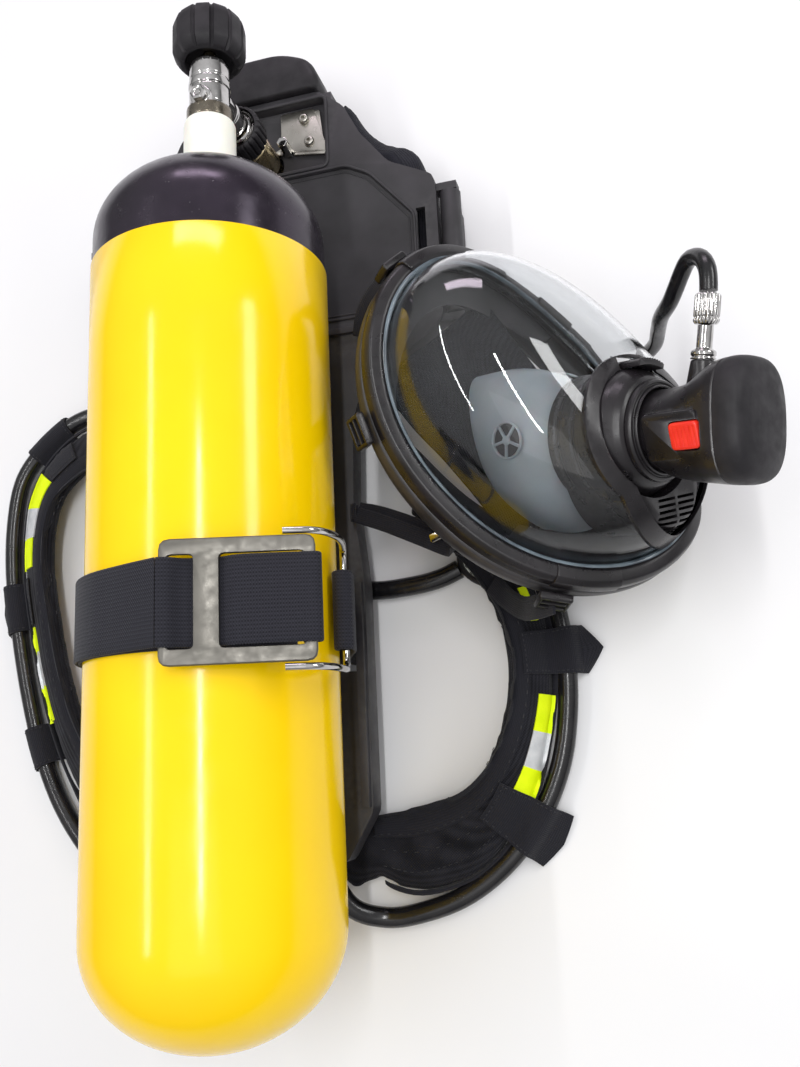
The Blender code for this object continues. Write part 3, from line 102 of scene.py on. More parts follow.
DEMAND_ROUTE = mm(
    (192.5, -30, 10.5), (195, -12, 9.5), (201, 6, 8), (212, 26, 6.5), (228, 43, 6), (248, 57, 7),
    (266.5, 65.5, 15), (278.5, 68, 30), (285.5, 67, 50), (288, 65.5, 76), (290.5, 62.5, 104), (297, 61, 131),
    (306.6, 70.8, 154.3), (311.4, 70.2, 163.5), (315.3, 64.4, 171.2), (317.1, 55.2, 175.4), (316.5, 44.9, 175),
    (316.3, 43.4, 174.6))


# ---------------------------------------------------------------- camera, floor and light
def link(name, data, matrix=None):
    """A new object in the scene."""
    made = bpy.data.objects.new(name, data)
    if matrix:
        made.matrix_world = matrix
    bpy.context.scene.collection.objects.link(made)
    return made


def make_camera():
    data = bpy.data.cameras.new("view")
    data.lens, data.sensor_width, data.clip_start = 33.74, 36.0, 0.05
    bpy.context.scene.camera = link("view", data, Matrix((
        (0.95955, 0.10397, 0.26164, 0.28331),
        (-0.04720, 0.97557, -0.21456, -0.19800),
        (-0.27756, 0.19354, 0.94101, 0.71598),
        (0, 0, 0, 1))))


def area_light(name, at, aim, size, power, colour=(1, 1, 1)):
    """A soft lamp whose long side runs along Y."""
    data = bpy.data.lights.new(name, "AREA")
    data.shape = "RECTANGLE"
    data.size, data.size_y = size
    data.energy = power
    data.color = colour
    back = (Vector(at) - Vector(aim)).normalized()
    along = (Vector((0, 1, 0)) - back * back.y).normalized()
    link(name, data, Matrix((*zip(along.cross(back), along, back, at), (0, 0, 0, 1))))


make_camera()


# ---------------------------------------------------------------- smooth routes
def length_of(points):
    return sum((q - p).length for p, q in zip(points, points[1:]))


def curve(a, b, c, d, t):
    """The smooth curve through b and c at t, with a and d as their neighbours."""
    return 0.5 * (2 * b + (c - a) * t + (2 * a - 5 * b + 4 * c - d) * t * t + (3 * b - a - 3 * c + d) * t ** 3)


def smooth_route(points, step):
    """Points a step apart on the smooth curve through the given ones."""
    knots = [Vector(p) for p in points]
    knots = [2 * knots[0] - knots[1]] + knots + [2 * knots[-1] - knots[-2]]
    fine = [curve(*four, k / 12) for four in zip(knots, knots[1:], knots[2:], knots[3:]) for k in range(12)]
    fine.append(knots[-2])
    total = length_of(fine)
    count = max(2, round(total / step))
    route, walked, wanted = [fine[0]], 0.0, total / count
    for p, q in zip(fine, fine[1:]):
        length = (q - p).length
        while length and walked + length >= wanted - 1e-9 and len(route) < count:
            route.append(p.lerp(q, (wanted - walked) / length))
            wanted += total / count
        walked += length
    return route + [fine[-1]]


def directions(line):
    """The unit vector along a route at each of its points."""
    last = len(line) - 1
    return [(line[min(i + 1, last)] - line[max(i - 1, 0)]).normalized() for i in range(last + 1)]


# ---------------------------------------------------------------- materials
LOOKS = {}


class Look:
    """A Principled material and short ways to add nodes to it."""

    def __init__(self, name, roughness, metallic=0.0, **sockets):
        self.material = bpy.data.materials.new(name)
        self.material.use_nodes = True
        self.tree = self.material.node_tree
        self.shader = self.tree.nodes["Principled BSDF"]
        for socket, value in dict(sockets, Roughness=roughness, Metallic=metallic).items():
            self.shader.inputs[socket.replace("_", " ")].default_value = value
        self.bumps = None

    def node(self, kind, links=(), **values):
        made = self.tree.nodes.new(kind)
        for key, value in values.items():
            if key in made.inputs:
                made.inputs[key].default_value = value
            else:
                setattr(made, key, value)
        for socket, source in dict(links).items():
            self.tree.links.new(source, made.inputs[socket])
        return made

    def fill(self, socket, value):
        """Links a node's output to a socket, or sets a number or colour on it."""
        if isinstance(value, tuple):
            socket.default_value = (*value, 1.0)
        elif isinstance(value, (int, float)):
            socket.default_value = value
        else:
            self.tree.links.new(value, socket)

    def coords(self, kind="Object"):
        return self.node("ShaderNodeTexCoord").outputs[kind]

    def noise(self, scale, detail=3.0):
        return self.node("ShaderNodeTexNoise", {"Vector": self.coords()}, Scale=scale, Detail=detail).outputs["Fac"]

    def math(self, operation, *values):
        made = self.node("ShaderNodeMath", operation=operation)
        for socket, value in zip(made.inputs, values):
            self.fill(socket, value)
        return made.outputs[0]

    def waves(self, out, pitch):
        return self.math("SINE", self.math("MULTIPLY", out, 2 * pi / pitch))

    def span(self, value, low, high, to_low, to_high):
        made = self.node("ShaderNodeMapRange", {"Value": value})
        for key, number in (("From Min", low), ("From Max", high), ("To Min", to_low), ("To Max", to_high)):
            made.inputs[key].default_value = number
        return made.outputs[0]

    def mix(self, factor, one, other):
        """Mixes two tones and gives the shader the result as its colour."""
        made = self.node("ShaderNodeMix", data_type="RGBA")
        for i, value in ((0, factor), (6, one), (7, other)):
            self.fill(made.inputs[i], value)
        self.tree.links.new(made.outputs[2], self.shader.inputs["Base Color"])
        return made.outputs[2]

    def bump(self, height, distance, strength=1.0):
        made = self.node("ShaderNodeBump", {"Height": height}, Strength=strength, Distance=distance)
        if self.bumps:
            self.tree.links.new(self.bumps, made.inputs["Normal"])
        self.bumps = made.outputs["Normal"]
        self.tree.links.new(self.bumps, self.shader.inputs["Normal"])

    def worn(self, base, tone, low, high, amount):
        """A lighter tone on the convex edges, broken up by noise."""
        edge = self.span(self.node("ShaderNodeNewGeometry").outputs["Pointiness"], low, high, 0.0, amount)
        return self.mix(self.math("MULTIPLY", edge, self.span(self.noise(220, 4), 0.35, 0.65, 0.2, 1.0)), base, tone)

    def specks(self, base, tone, scale, size, amount):
        """Small dust specks scattered over a dark surface."""
        cell = self.node("ShaderNodeTexVoronoi", {"Vector": self.coords()}, Scale=scale)
        dot = self.span(cell.outputs["Distance"], size, size * 0.5, 0.0, amount)
        few = self.span(self.noise(scale * 0.21, 2), 0.56, 0.62, 0.0, 1.0)
        return self.mix(self.math("MULTIPLY", dot, few), base, tone)


def look(slot, name, surface, tones, gloss=None, bump=None, worn=None, gloss_from=0.3, **sockets):
    """Colour that drifts between two tones in soft patches of one scale. surface: roughness and metallic;
    gloss: noise scale and detail, lowest and highest roughness; bump: noise scale and detail, depth, strength.
    gloss_from: the noise value at which the roughness starts to rise."""
    made = Look(name, *surface, **sockets)
    one, other, scale = tones
    base = made.mix(made.span(made.noise(scale), 0.35, 0.65, 0.0, 1.0), one, other)
    if worn:
        base = made.worn(base, *worn)
    if gloss:
        scale, detail, low, high = gloss
        uneven = made.span(made.noise(scale, detail), gloss_from, gloss_from + 0.4, low, high)
        made.tree.links.new(uneven, made.shader.inputs["Roughness"])
    if bump:
        scale, detail, distance, strength = bump
        made.bump(made.noise(scale, detail), distance, strength)
    LOOKS[slot] = made.material
    return made, base


def make_looks():
    look("yellow_sleeve", "yellow_gloss_sleeve", (0.22,), ((0.95, 0.600, 0.0), (0.98, 0.650, 0.0), 9.0),
         (60, 4, 0.12, 0.20), (55, 2, 0.00012, 0.35), Specular_IOR_Level=0.35)
    lacquer, base = look("black_composite", "black_lacquer", (0.24,),
                         ((0.006, 0.0045, 0.007), (0.014, 0.010, 0.016), 30.0), (90, 4, 0.17, 0.30),
                         (160, 2, 0.00015, 0.4), Specular_IOR_Level=0.5, Specular_Tint=(0.92, 0.80, 1.0, 1.0))
    lacquer.specks(base, (0.55, 0.54, 0.55), 520, 0.11, 0.8)
    look("white_plastic", "white_collar", (0.35,), ((0.86, 0.84, 0.74), (0.90, 0.885, 0.80), 60.0),
         bump=(900, 2, 0.00004, 0.3), Subsurface_Weight=0.15, Subsurface_Scale=0.004)
    look("chrome", "polished_chrome", (0.12, 1.0), ((0.44, 0.43, 0.42), (0.60, 0.59, 0.58), 90.0),
         (140, 5, 0.05, 0.20), (70, 2, 0.0001, 0.15), gloss_from=0.35)
    look("steel", "satin_nickel", (0.30, 1.0), ((0.42, 0.40, 0.36), (0.48, 0.46, 0.42), 70.0),
         (260, 6, 0.26, 0.36), (1400, 3, 0.00003, 0.12))
    look("grey_metal", "cast_grey_metal", (0.42, 0.8), ((0.110, 0.105, 0.093), (0.135, 0.128, 0.114), 60.0),
         (180, 5, 0.30, 0.52), (1100, 3, 0.00006, 0.5), ((0.30, 0.285, 0.26), 0.56, 0.70, 0.25))
    look("brass", "nickelled_brass", (0.25, 1.0), ((0.52, 0.42, 0.24), (0.62, 0.53, 0.36), 80.0), (200, 4, 0.18, 0.34))
    look("liner_aluminium", "drawn_aluminium", (0.35, 1.0), ((0.70, 0.71, 0.72), (0.78, 0.79, 0.80), 40.0))
    look("black_plastic", "satin_black_plastic", (0.30,), ((0.007, 0.006, 0.007), (0.014, 0.012, 0.014), 45.0),
         (130, 5, 0.24, 0.38), (1500, 2, 0.00003, 0.5), ((0.07, 0.066, 0.07), 0.56, 0.72, 0.22),
         Specular_IOR_Level=0.42)
    look("plate_plastic", "moulded_plate_plastic", (0.46,), ((0.022, 0.021, 0.023), (0.034, 0.032, 0.036), 28.0),
         (90, 5, 0.40, 0.56), (1300, 3, 0.00008, 0.8), ((0.12, 0.115, 0.12), 0.56, 0.72, 0.25),
         Specular_IOR_Level=0.35)
    look("black_rubber", "black_rubber", (0.52,), ((0.009, 0.008, 0.010), (0.020, 0.018, 0.021), 50.0),
         (120, 5, 0.45, 0.66), (1700, 3, 0.00006, 0.7), ((0.085, 0.08, 0.085), 0.55, 0.68, 0.5),
         Specular_IOR_Level=0.32)
    look("seal_rubber", "face_seal_rubber", (0.38,), ((0.016, 0.015, 0.017), (0.034, 0.031, 0.034), 40.0),
         bump=(700, 3, 0.00008, 0.5))
    look("hose_rubber", "hose_rubber", (0.20,), ((0.005, 0.005, 0.006), (0.012, 0.011, 0.012), 70.0),
         (160, 4, 0.14, 0.30), (380, 3, 0.0001, 0.5), Specular_IOR_Level=0.5)

    for slot, tones, pitch in (
            ("black_fabric", ((0.005, 0.005, 0.009), (0.018, 0.018, 0.026)), 0.0011),
            ("air_mesh", ((0.004, 0.004, 0.006), (0.020, 0.020, 0.026)), 0.0019)):
        cloth = Look(slot + "_cloth", 0.88, Specular_IOR_Level=0.15, Sheen_Weight=0.08, Sheen_Roughness=0.5)
        LOOKS[slot] = cloth.material
        where = cloth.node("ShaderNodeSeparateXYZ", {"Vector": cloth.coords()})
        x, y, z = [cloth.waves(out, pitch) for out in where.outputs]
        knit = cloth.math("ADD", cloth.math("MULTIPLY", x, y), cloth.math("MULTIPLY", z, 0.7))
        knit = cloth.math("ADD", knit, cloth.math("MULTIPLY", cloth.noise(1600, 2), 0.8))
        tone = cloth.math("ADD", cloth.math("MULTIPLY", knit, 0.22), cloth.noise(60, 4))
        cloth.mix(cloth.span(tone, 0.3, 0.9, 0.0, 1.0), *tones)
        cloth.bump(knit, 0.00035, 0.55)
        cloth.bump(cloth.noise(140, 4), 0.0012, 0.35)

    for slot, tones, across, along in (
            ("black_webbing", ((0.006, 0.006, 0.009), (0.028, 0.028, 0.038)), 0.0022, 0.0016),
            ("binding", ((0.005, 0.005, 0.008), (0.022, 0.022, 0.029)), 0.0014, 0.0012)):
        band = Look(slot + "_ribs", 0.75, Specular_IOR_Level=0.2, Sheen_Weight=0.08, Sheen_Roughness=0.45)
        LOOKS[slot] = band.material
        where = band.node("ShaderNodeSeparateXYZ", {"Vector": band.coords("UV")})
        ribs, rows = band.waves(where.outputs[0], along), band.waves(where.outputs[1], across)
        weave = band.math("ADD", band.math("MULTIPLY", ribs, rows), band.math("MULTIPLY", rows, 0.6))
        weave = band.math("ADD", weave, band.math("MULTIPLY", band.noise(900, 3), 1.2))
        band.mix(band.span(weave, -0.9, 2.2, 0.0, 1.0), *tones)
        band.bump(weave, 0.00028, 0.6)
        band.bump(band.noise(60, 3), 0.0012, 0.25)

    for slot, name, surface, tones, cells, strength, sockets in (
            ("hi_vis", "lime_reflective", (0.5,), ((0.72, 0.90, 0.0), (0.80, 0.96, 0.005), 90.0), 900, 0.6,
             {"Specular_IOR_Level": 0.2}),
            ("silver_tape", "silver_reflective", (0.35, 0.35), ((0.60, 0.62, 0.63), (0.74, 0.75, 0.76), 120.0),
             1100, 0.7, {})):
        tape, _ = look(slot, name, surface, tones, **sockets)
        cell = tape.node("ShaderNodeTexVoronoi", {"Vector": tape.coords()}, Scale=cells, feature="DISTANCE_TO_EDGE")
        tape.bump(tape.span(cell.outputs["Distance"], 0.0, 0.08, 0.0, 1.0), 0.0001, strength)

    look("thread", "black_thread", (0.7,), ((0.010, 0.010, 0.013), (0.032, 0.032, 0.038), 700.0))
    look("clear_visor", "clear_polycarbonate", (0.02,), ((0.93, 0.95, 0.96), (0.96, 0.975, 0.98), 12.0),
         bump=(14, 1, 0.0006, 0.06), Transmission_Weight=1.0, IOR=1.42)
    look("grey_silicone", "grey_silicone", (0.36,), ((0.32, 0.355, 0.385), (0.40, 0.44, 0.47), 26.0),
         bump=(500, 2, 0.00006, 0.4), Transmission_Weight=0.25, Subsurface_Weight=0.2, Subsurface_Scale=0.006,
         IOR=1.41)
    look("visor_edge", "visor_edge", (0.12,), ((0.055, 0.070, 0.085), (0.15, 0.19, 0.22), 40.0),
         bump=(300, 2, 0.00005, 0.3), Specular_IOR_Level=0.6)
    look("nickel_band", "nickel_band", (0.24, 1.0), ((0.16, 0.14, 0.11), (0.30, 0.27, 0.22), 60.0),
         (240, 4, 0.18, 0.34))
    look("red_plastic", "red_button_plastic", (0.38,), ((0.78, 0.018, 0.008), (0.88, 0.035, 0.015), 120.0),
         bump=(1300, 2, 0.00005, 0.5), Coat_Weight=0.15)
    look("dial_face", "dial_face", (0.4,), ((0.78, 0.80, 0.72), (0.84, 0.86, 0.78), 90.0))
    look("white_needle", "black_needle", (0.4,), ((0.02, 0.02, 0.02), (0.05, 0.05, 0.05), 300.0))
    look("floor", "studio_paper", (0.55,), ((0.765, 0.765, 0.775), (0.80, 0.80, 0.805), 2.2),
         bump=(9, 3, 0.004, 0.15))


def make_stage():
    bm = bmesh.new()
    bmesh.ops.create_grid(bm, x_segments=24, y_segments=24, size=4.0, matrix=Matrix.Translation((0, 0, -0.0004)))
    mesh = bpy.data.meshes.new("studio_floor")
    bm.to_mesh(mesh)
    bm.free()
    mesh.materials.append(LOOKS["floor"])
    link("studio_floor", mesh)
    world = bpy.data.worlds.new("studio")
    world.use_nodes = True
    tree = world.node_tree
    sky = tree.nodes["Background"]
    sky.inputs[0].default_value = (0.985, 0.985, 1.0, 1.0)
    where = tree.nodes.new("ShaderNodeTexCoord")
    split = tree.nodes.new("ShaderNodeSeparateXYZ")
    rise = tree.nodes.new("ShaderNodeMapRange")
    for key, number in (("From Min", 0.0), ("From Max", 0.75), ("To Min", 0.17), ("To Max", 0.77)):
        rise.inputs[key].default_value = number
    tree.links.new(where.outputs["Generated"], split.inputs[0])
    tree.links.new(split.outputs["Z"], rise.inputs["Value"])
    tree.links.new(rise.outputs[0], sky.inputs[1])
    bpy.context.scene.world = world
    bpy.context.scene.view_settings.view_transform = "Standard"
    area_light("tube_left", (-0.80, 0.10, 1.60), (0.0, 0.05, 0.15), (0.040, 1.5), 6.5)
    area_light("tube_middle", (0.39, -0.02, 1.60), (0.03, -0.05, 0.15), (0.050, 0.95), 9.0)
    area_light("window_right", (1.45, 0.60, 0.95), (0.05, 0.05, 0.10), (0.30, 0.9), 7)
    area_light("soft_top", (0.35, -0.9, 2.2), (0.1, 0.0, 0.05), (1.6, 1.2), 4)
    area_light("window_back", (0.10, 1.70, 0.85), (0.0, 0.15, 0.15), (0.90, 0.30), 6, (1.0, 0.86, 1.0))


make_looks()
make_stage()


# ---------------------------------------------------------------- mesh helpers
def place(at=(0, 0, 0), turn=(0, 0, 0), parent=None):
    made = Matrix.Translation(at) @ Euler([radians(a) for a in turn]).to_matrix().to_4x4()
    return parent @ made if parent else made


CYL = place((0, 0, CYL_AXIS_Z), (-90, 0, 0))
MASK = place((0.214, 0.011, 0.115), (68.6, -34.1, -129.2))
PORT = place((0, 0.0535, -0.0568), (-116.6, 0, 0), MASK)
VALVE = place((0, 0, 0), (0, 0, 146.4), PORT)
INLET = place((0, 0, 0.0280), (-83, 0, 0), VALVE)
SIDE = place((0, 0, 0), (0, 0, 16), VALVE)


def soften(obj, sharp=38):
    obj.data.polygons.foreach_set("use_smooth", [True] * len(obj.data.polygons))
    obj.data.set_sharp_from_angle(angle=radians(sharp))


def as_object(name, bm, matrix=None, sharp=38, weld=True):
    """The bmesh as an object whose vertices are in the part's frame."""
    if weld:
        bmesh.ops.remove_doubles(bm, verts=bm.verts, dist=1e-6)
    bmesh.ops.recalc_face_normals(bm, faces=bm.faces)
    if matrix:
        bm.transform(matrix)
    mesh = bpy.data.meshes.new(name)
    bm.to_mesh(mesh)
    bm.free()
    made = link(name, mesh)
    soften(made, sharp)
    return made


def settle(obj, sharp=38):
    """Applies the object's modifiers."""
    bpy.context.view_layer.update()
    done = bpy.data.meshes.new_from_object(obj.evaluated_get(bpy.context.evaluated_depsgraph_get()))
    obj.modifiers.clear()
    obj.data = done
    soften(obj, sharp)
    return obj


def wear(obj, look_name, body="apparatus", nodes=None):
    """Gives the piece its material, the CAD body that it rides on and the node that it stands for."""
    obj.data.materials.clear()
    obj.data.materials.append(LOOKS[look_name])
    if nodes:
        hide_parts(nodes)
    if body:
        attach(obj, body)
    return obj


def arc_corners(corners, radius, arc=5, cyclic=True):
    """The outline with its corners rounded; radius may be one value or one a corner."""
    corners = [Vector(p) for p in corners]
    count = len(corners)
    radii = radius if isinstance(radius, list) else [radius] * count
    points = []
    for i, here in enumerate(corners):
        if radii[i] <= 0 or (not cyclic and i in (0, count - 1)):
            points.append(here)
            continue
        back, on = corners[i - 1] - here, corners[(i + 1) % count] - here
        reach = min(radii[i], back.length * 0.48, on.length * 0.48)
        start, end = here + back.normalized() * reach, here + on.normalized() * reach
        for k in range(arc + 1):
            t = k / arc
            points.append(start * (1 - t) ** 2 + here * 2 * t * (1 - t) + end * t * t)
    return points


def turned(name, profile, steps=96, closed=False, matrix=None, round_=0.0, shape=None, sharp=38):
    """A profile of (radius, height) turned about Z. shape(angle, radius, height) may change the radius."""
    if round_:
        profile = [tuple(p) for p in arc_corners(profile, round_, 3, closed)]
    bm = bmesh.new()
    columns = []
    for i in range(steps):
        a = 2 * pi * i / steps
        column = []
        for r, z in profile:
            q = shape(a, r, z) if shape else r
            column.append(bm.verts.new((q * cos(a), q * sin(a), z)))
        columns.append(column)
    for one, other in zip(columns, columns[1:] + columns[:1]):
        for k in range(len(profile) if closed else len(profile) - 1):
            j = (k + 1) % len(profile)
            bm.faces.new((one[k], one[j], other[j], other[k]))
    bmesh.ops.remove_doubles(bm, verts=bm.verts, dist=1e-7)
    bmesh.ops.dissolve_degenerate(bm, edges=bm.edges, dist=1e-7)
    return as_object(name, bm, matrix, sharp)


def grooves(count, start, depth, width):
    """A shape for turned(): notches round every radius from start on."""
    def shape(a, r, z):
        t = (a / (2 * pi / count)) % 1.0 - 0.5
        return r - depth * max(0.0, 1 - abs(t) / width) if r >= start else r
    return shape


def loft(name, rings, closed=False, caps=True, matrix=None, sharp=38, uv=False):
    """A skin over rings of equally many points. With uv it has a UV map in metres, along and around."""
    bm = bmesh.new()
    rows = [[bm.verts.new(p) for p in ring] for ring in rings]
    width = len(rows[0])
    layer = bm.loops.layers.uv.new("UVMap") if uv else None
    along, around = [0.0], [0.0]
    for one, other in zip(rings, rings[1:]):
        middle, after = (sum((Vector(p) for p in ring), Vector()) / width for ring in (one, other))
        along.append(along[-1] + (after - middle).length)
    for a, b in zip(rings[0], list(rings[0][1:]) + [rings[0][0]]):
        around.append(around[-1] + (Vector(b) - Vector(a)).length)
    pairs = [(k, k + 1) for k in range(len(rows) - 1)] + ([(len(rows) - 1, 0)] if closed else [])
    for low, high in pairs:
        for i in range(width):
            j = (i + 1) % width
            face = bm.faces.new((rows[low][i], rows[low][j], rows[high][j], rows[high][i]))
            if layer:
                spots = ((low, i), (low, i + 1), (high, i + 1), (high, i))
                for corner, (row, side) in zip(face.loops, spots):
                    corner[layer].uv = (along[row], around[side])
    if caps and not closed:
        bm.faces.new(rows[0][::-1])
        bm.faces.new(rows[-1])
    return as_object(name, bm, matrix, sharp, weld=not uv)


def block(name, low, high, matrix=None):
    bm = bmesh.new()
    bmesh.ops.create_cube(bm, size=1)
    low, high = Vector(low), Vector(high)
    bmesh.ops.scale(bm, vec=high - low, verts=bm.verts)
    bmesh.ops.translate(bm, vec=(low + high) / 2, verts=bm.verts)
    return as_object(name, bm, matrix)


def slab(name, outline, low, high, matrix=None):
    return loft(name, [[(p[0], p[1], z) for p in outline] for z in (low, high)], matrix=matrix)


def boolean(target, others, operation="DIFFERENCE"):
    for other in others:
        step = target.modifiers.new(operation, "BOOLEAN")
        step.operation = operation
        step.object = other
        step.solver = "EXACT"
    settle(target)
    for other in others:
        bpy.data.objects.remove(other, do_unlink=True)
    return target


def bevel(obj, width, segments=2, angle=30, sharp=45):
    step = obj.modifiers.new("edge", "BEVEL")
    step.width = width
    step.segments = segments
    step.limit_method = "ANGLE"
    step.angle_limit = radians(angle)
    step.use_clamp_overlap = True
    return settle(obj, sharp)


def refined(node, width, look_name, body="apparatus", segments=2, flat=1.0, sharp=50):
    """A copy of a CAD node with its flat faces made whole and its edges rounded."""
    bm = bmesh.new()
    bm.from_mesh(frame["nodes"][node].data)
    bmesh.ops.remove_doubles(bm, verts=bm.verts, dist=2e-6)
    bmesh.ops.dissolve_limit(bm, angle_limit=radians(flat), verts=bm.verts, edges=bm.edges)
    made = as_object(f"{node}_shape", bm)
    return wear(bevel(made, width, segments, sharp=sharp), look_name, body, node)


def pipe(name, line, radius, around=32):
    """A tube round a route, its section turned as little as possible from one ring to the next."""
    rings, side = [], Vector((0.3, 0.2, 0.93))
    for here, along in zip(line, directions(line)):
        side = (side - along * side.dot(along)).normalized()
        other = along.cross(side)
        rings.append([here + (side * cos(2 * pi * k / around) + other * sin(2 * pi * k / around)) * radius
                      for k in range(around)])
    return loft(name, rings, sharp=60)


def make_hose(name, route, radius, node, body="apparatus"):
    return wear(pipe(name, smooth_route(route, HOSE_STEP), radius), "hose_rubber", body, node)


def declare_hose(route):
    line = smooth_route(route, HOSE_STEP)


supply_hose = make_hose("supply_hose_line", SUPPLY_ROUTE, HOSE_R, "supply_hose")
gauge_hose = make_hose("gauge_hose_line", GAUGE_ROUTE, HOSE_R, "gauge_hose")
demand_hose = make_hose("demand_hose_line", DEMAND_ROUTE, THIN_HOSE_R, "demand_hose", None)
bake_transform(demand_hose)


# ---------------------------------------------------------------- cylinder
def vessel(inset, start=None):
    """Outer profile of the vessel from its neck, or from start, down to its pole."""
    neck, turns = 0.0158, [pi / 2 * k / 21 for k in range(22)]
    points = [(CYL_R - inset, start)]
    if start is None:
        points = [((CYL_R - inset) * sin(a), NECK_Y - SHOULDER + (SHOULDER - inset) * cos(a)) for a in turns]
        points = [p for p in points if p[0] > neck]
        points.insert(0, (neck, points[0][1] + 0.0002))
    points += [(CYL_R - inset, y) for y in (0.06, -0.02, -0.10, -0.18, -0.26)]
    return points + [((CYL_R - inset) * cos(a), CYL_BOTTOM + DOME - (DOME - inset) * sin(a)) for a in turns]


def make_cylinder():
    edge = [(CYL_R - 0.0006, SLEEVE_END + 0.0003), (CYL_R - 0.0002, SLEEVE_END + 0.0002)]
    profile = edge + vessel(0, SLEEVE_END) + vessel(0.0008, SLEEVE_END)[::-1]
    wear(turned("sleeve_gloss", profile, 144, True, CYL, sharp=50), "yellow_sleeve", nodes="cylinder_sleeve")
    wrap = turned("lacquered_shoulder", vessel(0.0011) + vessel(0.0071)[::-1], 144, True, CYL, sharp=50)
    wear(wrap, "black_composite", nodes="cylinder_overwrap")
    collar = mm((17.2, 240), (18.1, 237.8), (18.3, 213.5), (18.5, 206.3), (18.7, 204.5), (18.2, 203.5),
                (15.8, 203.5), (15.8, 240))
    wear(turned("collar_sleeve", collar, 96, True, CYL, 0.0006), "white_plastic", nodes="neck_collar")


# ---------------------------------------------------------------- cylinder valve
def knob_shape(a, r, z):
    """Flat lands with a narrow groove between each two of them."""
    if r < 0.0175 or z > 0.0352:
        return r
    turn = (a / (2 * pi / 12)) % 1.0 - 0.5
    land = cos(pi / 12) / cos(turn * 2 * pi / 12)
    groove = max(0.0, 1 - abs(abs(turn) - 0.5) / 0.115)
    return r * (0.35 + 0.65 * land) - 0.0021 * groove ** 0.5 * min(1.0, (r - 0.0175) / 0.004)


def six_sided(a):
    """How far a hexagon's side stands out at an angle, as a share of its corner's reach."""
    return cos(pi / 6) / cos(((a / (pi / 3)) % 1.0 - 0.5) * pi / 3)


def make_valve():
    profile = mm((9.5, 288), (12.4, 288), (14.2, 286.2), (14.2, 275), (13.3, 274.2), (13.3, 272.8), (14.8, 272),
                 (14.8, 267.5), (13.6, 266.8), (14.4, 265.5), (14.4, 252.8), (13.5, 251.8), (15.6, 250.3),
                 (15.8, 241.3), (14.6, 240.3), (8.7, 240.3), (8.7, 182), (2.5, 182), (2.5, 260.3), (9.5, 262.3))
    body = turned("valve_chrome", profile, 96, True, CYL, 0.0005)
    outlet = mm((0, -8), (11.8, -8), (11.8, -19), (10.8, -20), (10.8, -22.5), (11.7, -24), (11.7, -36), (10, -37.8),
                (0, -37.8))
    outlet = turned("outlet", outlet, 64, matrix=place((0, OUTLET_Y, CYL_AXIS_Z)), round_=0.0005)
    plug_y = COLLAR_END + 0.0145
    boss = turned("boss", mm((0, 6), (8.4, 6), (7.7, 15), (7, 15.7), (0, 15.7)), 64,
                  matrix=place((0, plug_y, CYL_AXIS_Z)), round_=0.0005)
    wear(bevel(boolean(body, [outlet, boss], "UNION"), 0.0003, 2, 32), "chrome", nodes="valve_body")

    band = mm((15.8, 250.3), (16.2, 249.7), (16.2, 241.5), (15.8, 240.9), (13.6, 240.9), (13.6, 250.3))
    wear(turned("valve_band", band, 96, True, CYL, 0.0003), "nickel_band")
    plug = mm((0, 3), (1.8, 3), (2.2, 3.6), (4, 4.2), (5, 4.2), (6.1, 3.4), (6.3, 0.4), (5.8, 0), (0, 0))
    plug = turned("disc_plug", plug, 72, matrix=place((0, plug_y, CYL_AXIS_Z + VALVE_R + 0.0015)),
                  shape=lambda a, r, z: r * 0.93 * six_sided(a) ** 0.9 if r > 0.0042 else r)
    wear(plug, "chrome", nodes="burst_disc_plug")

    at = place((0, VALVE_END + 0.0015, CYL_AXIS_Z), (-90, 0, 0))
    flank = [(26.2, 7.5 + 18.5 * k / 6) for k in range(6, -1, -1)]
    knob = mm((0, 33.8), (12, 34), (15.2, 35.6), (17, 36), (22.8, 33), (24.6, 30.8), (25.8, 27.5), *flank,
              (25.4, 5.2), (22.2, 0.8), (20.5, 0), (17.6, 0), (16.2, 6), (4.8, 8), (4.8, 20.5), (0, 20.5))
    wear(turned("knob_rubber", knob, 288, False, at, shape=knob_shape, sharp=40), "black_rubber", "knob",
         "valve_knob")
    stem = mm((0, 20), (3.8, 20), (4.2, 19.6), (4.2, -17.6), (3.8, -18), (0, -18))
    wear(turned("valve_stem_bar", stem, 48, False, at), "brass", "knob", "valve_stem")


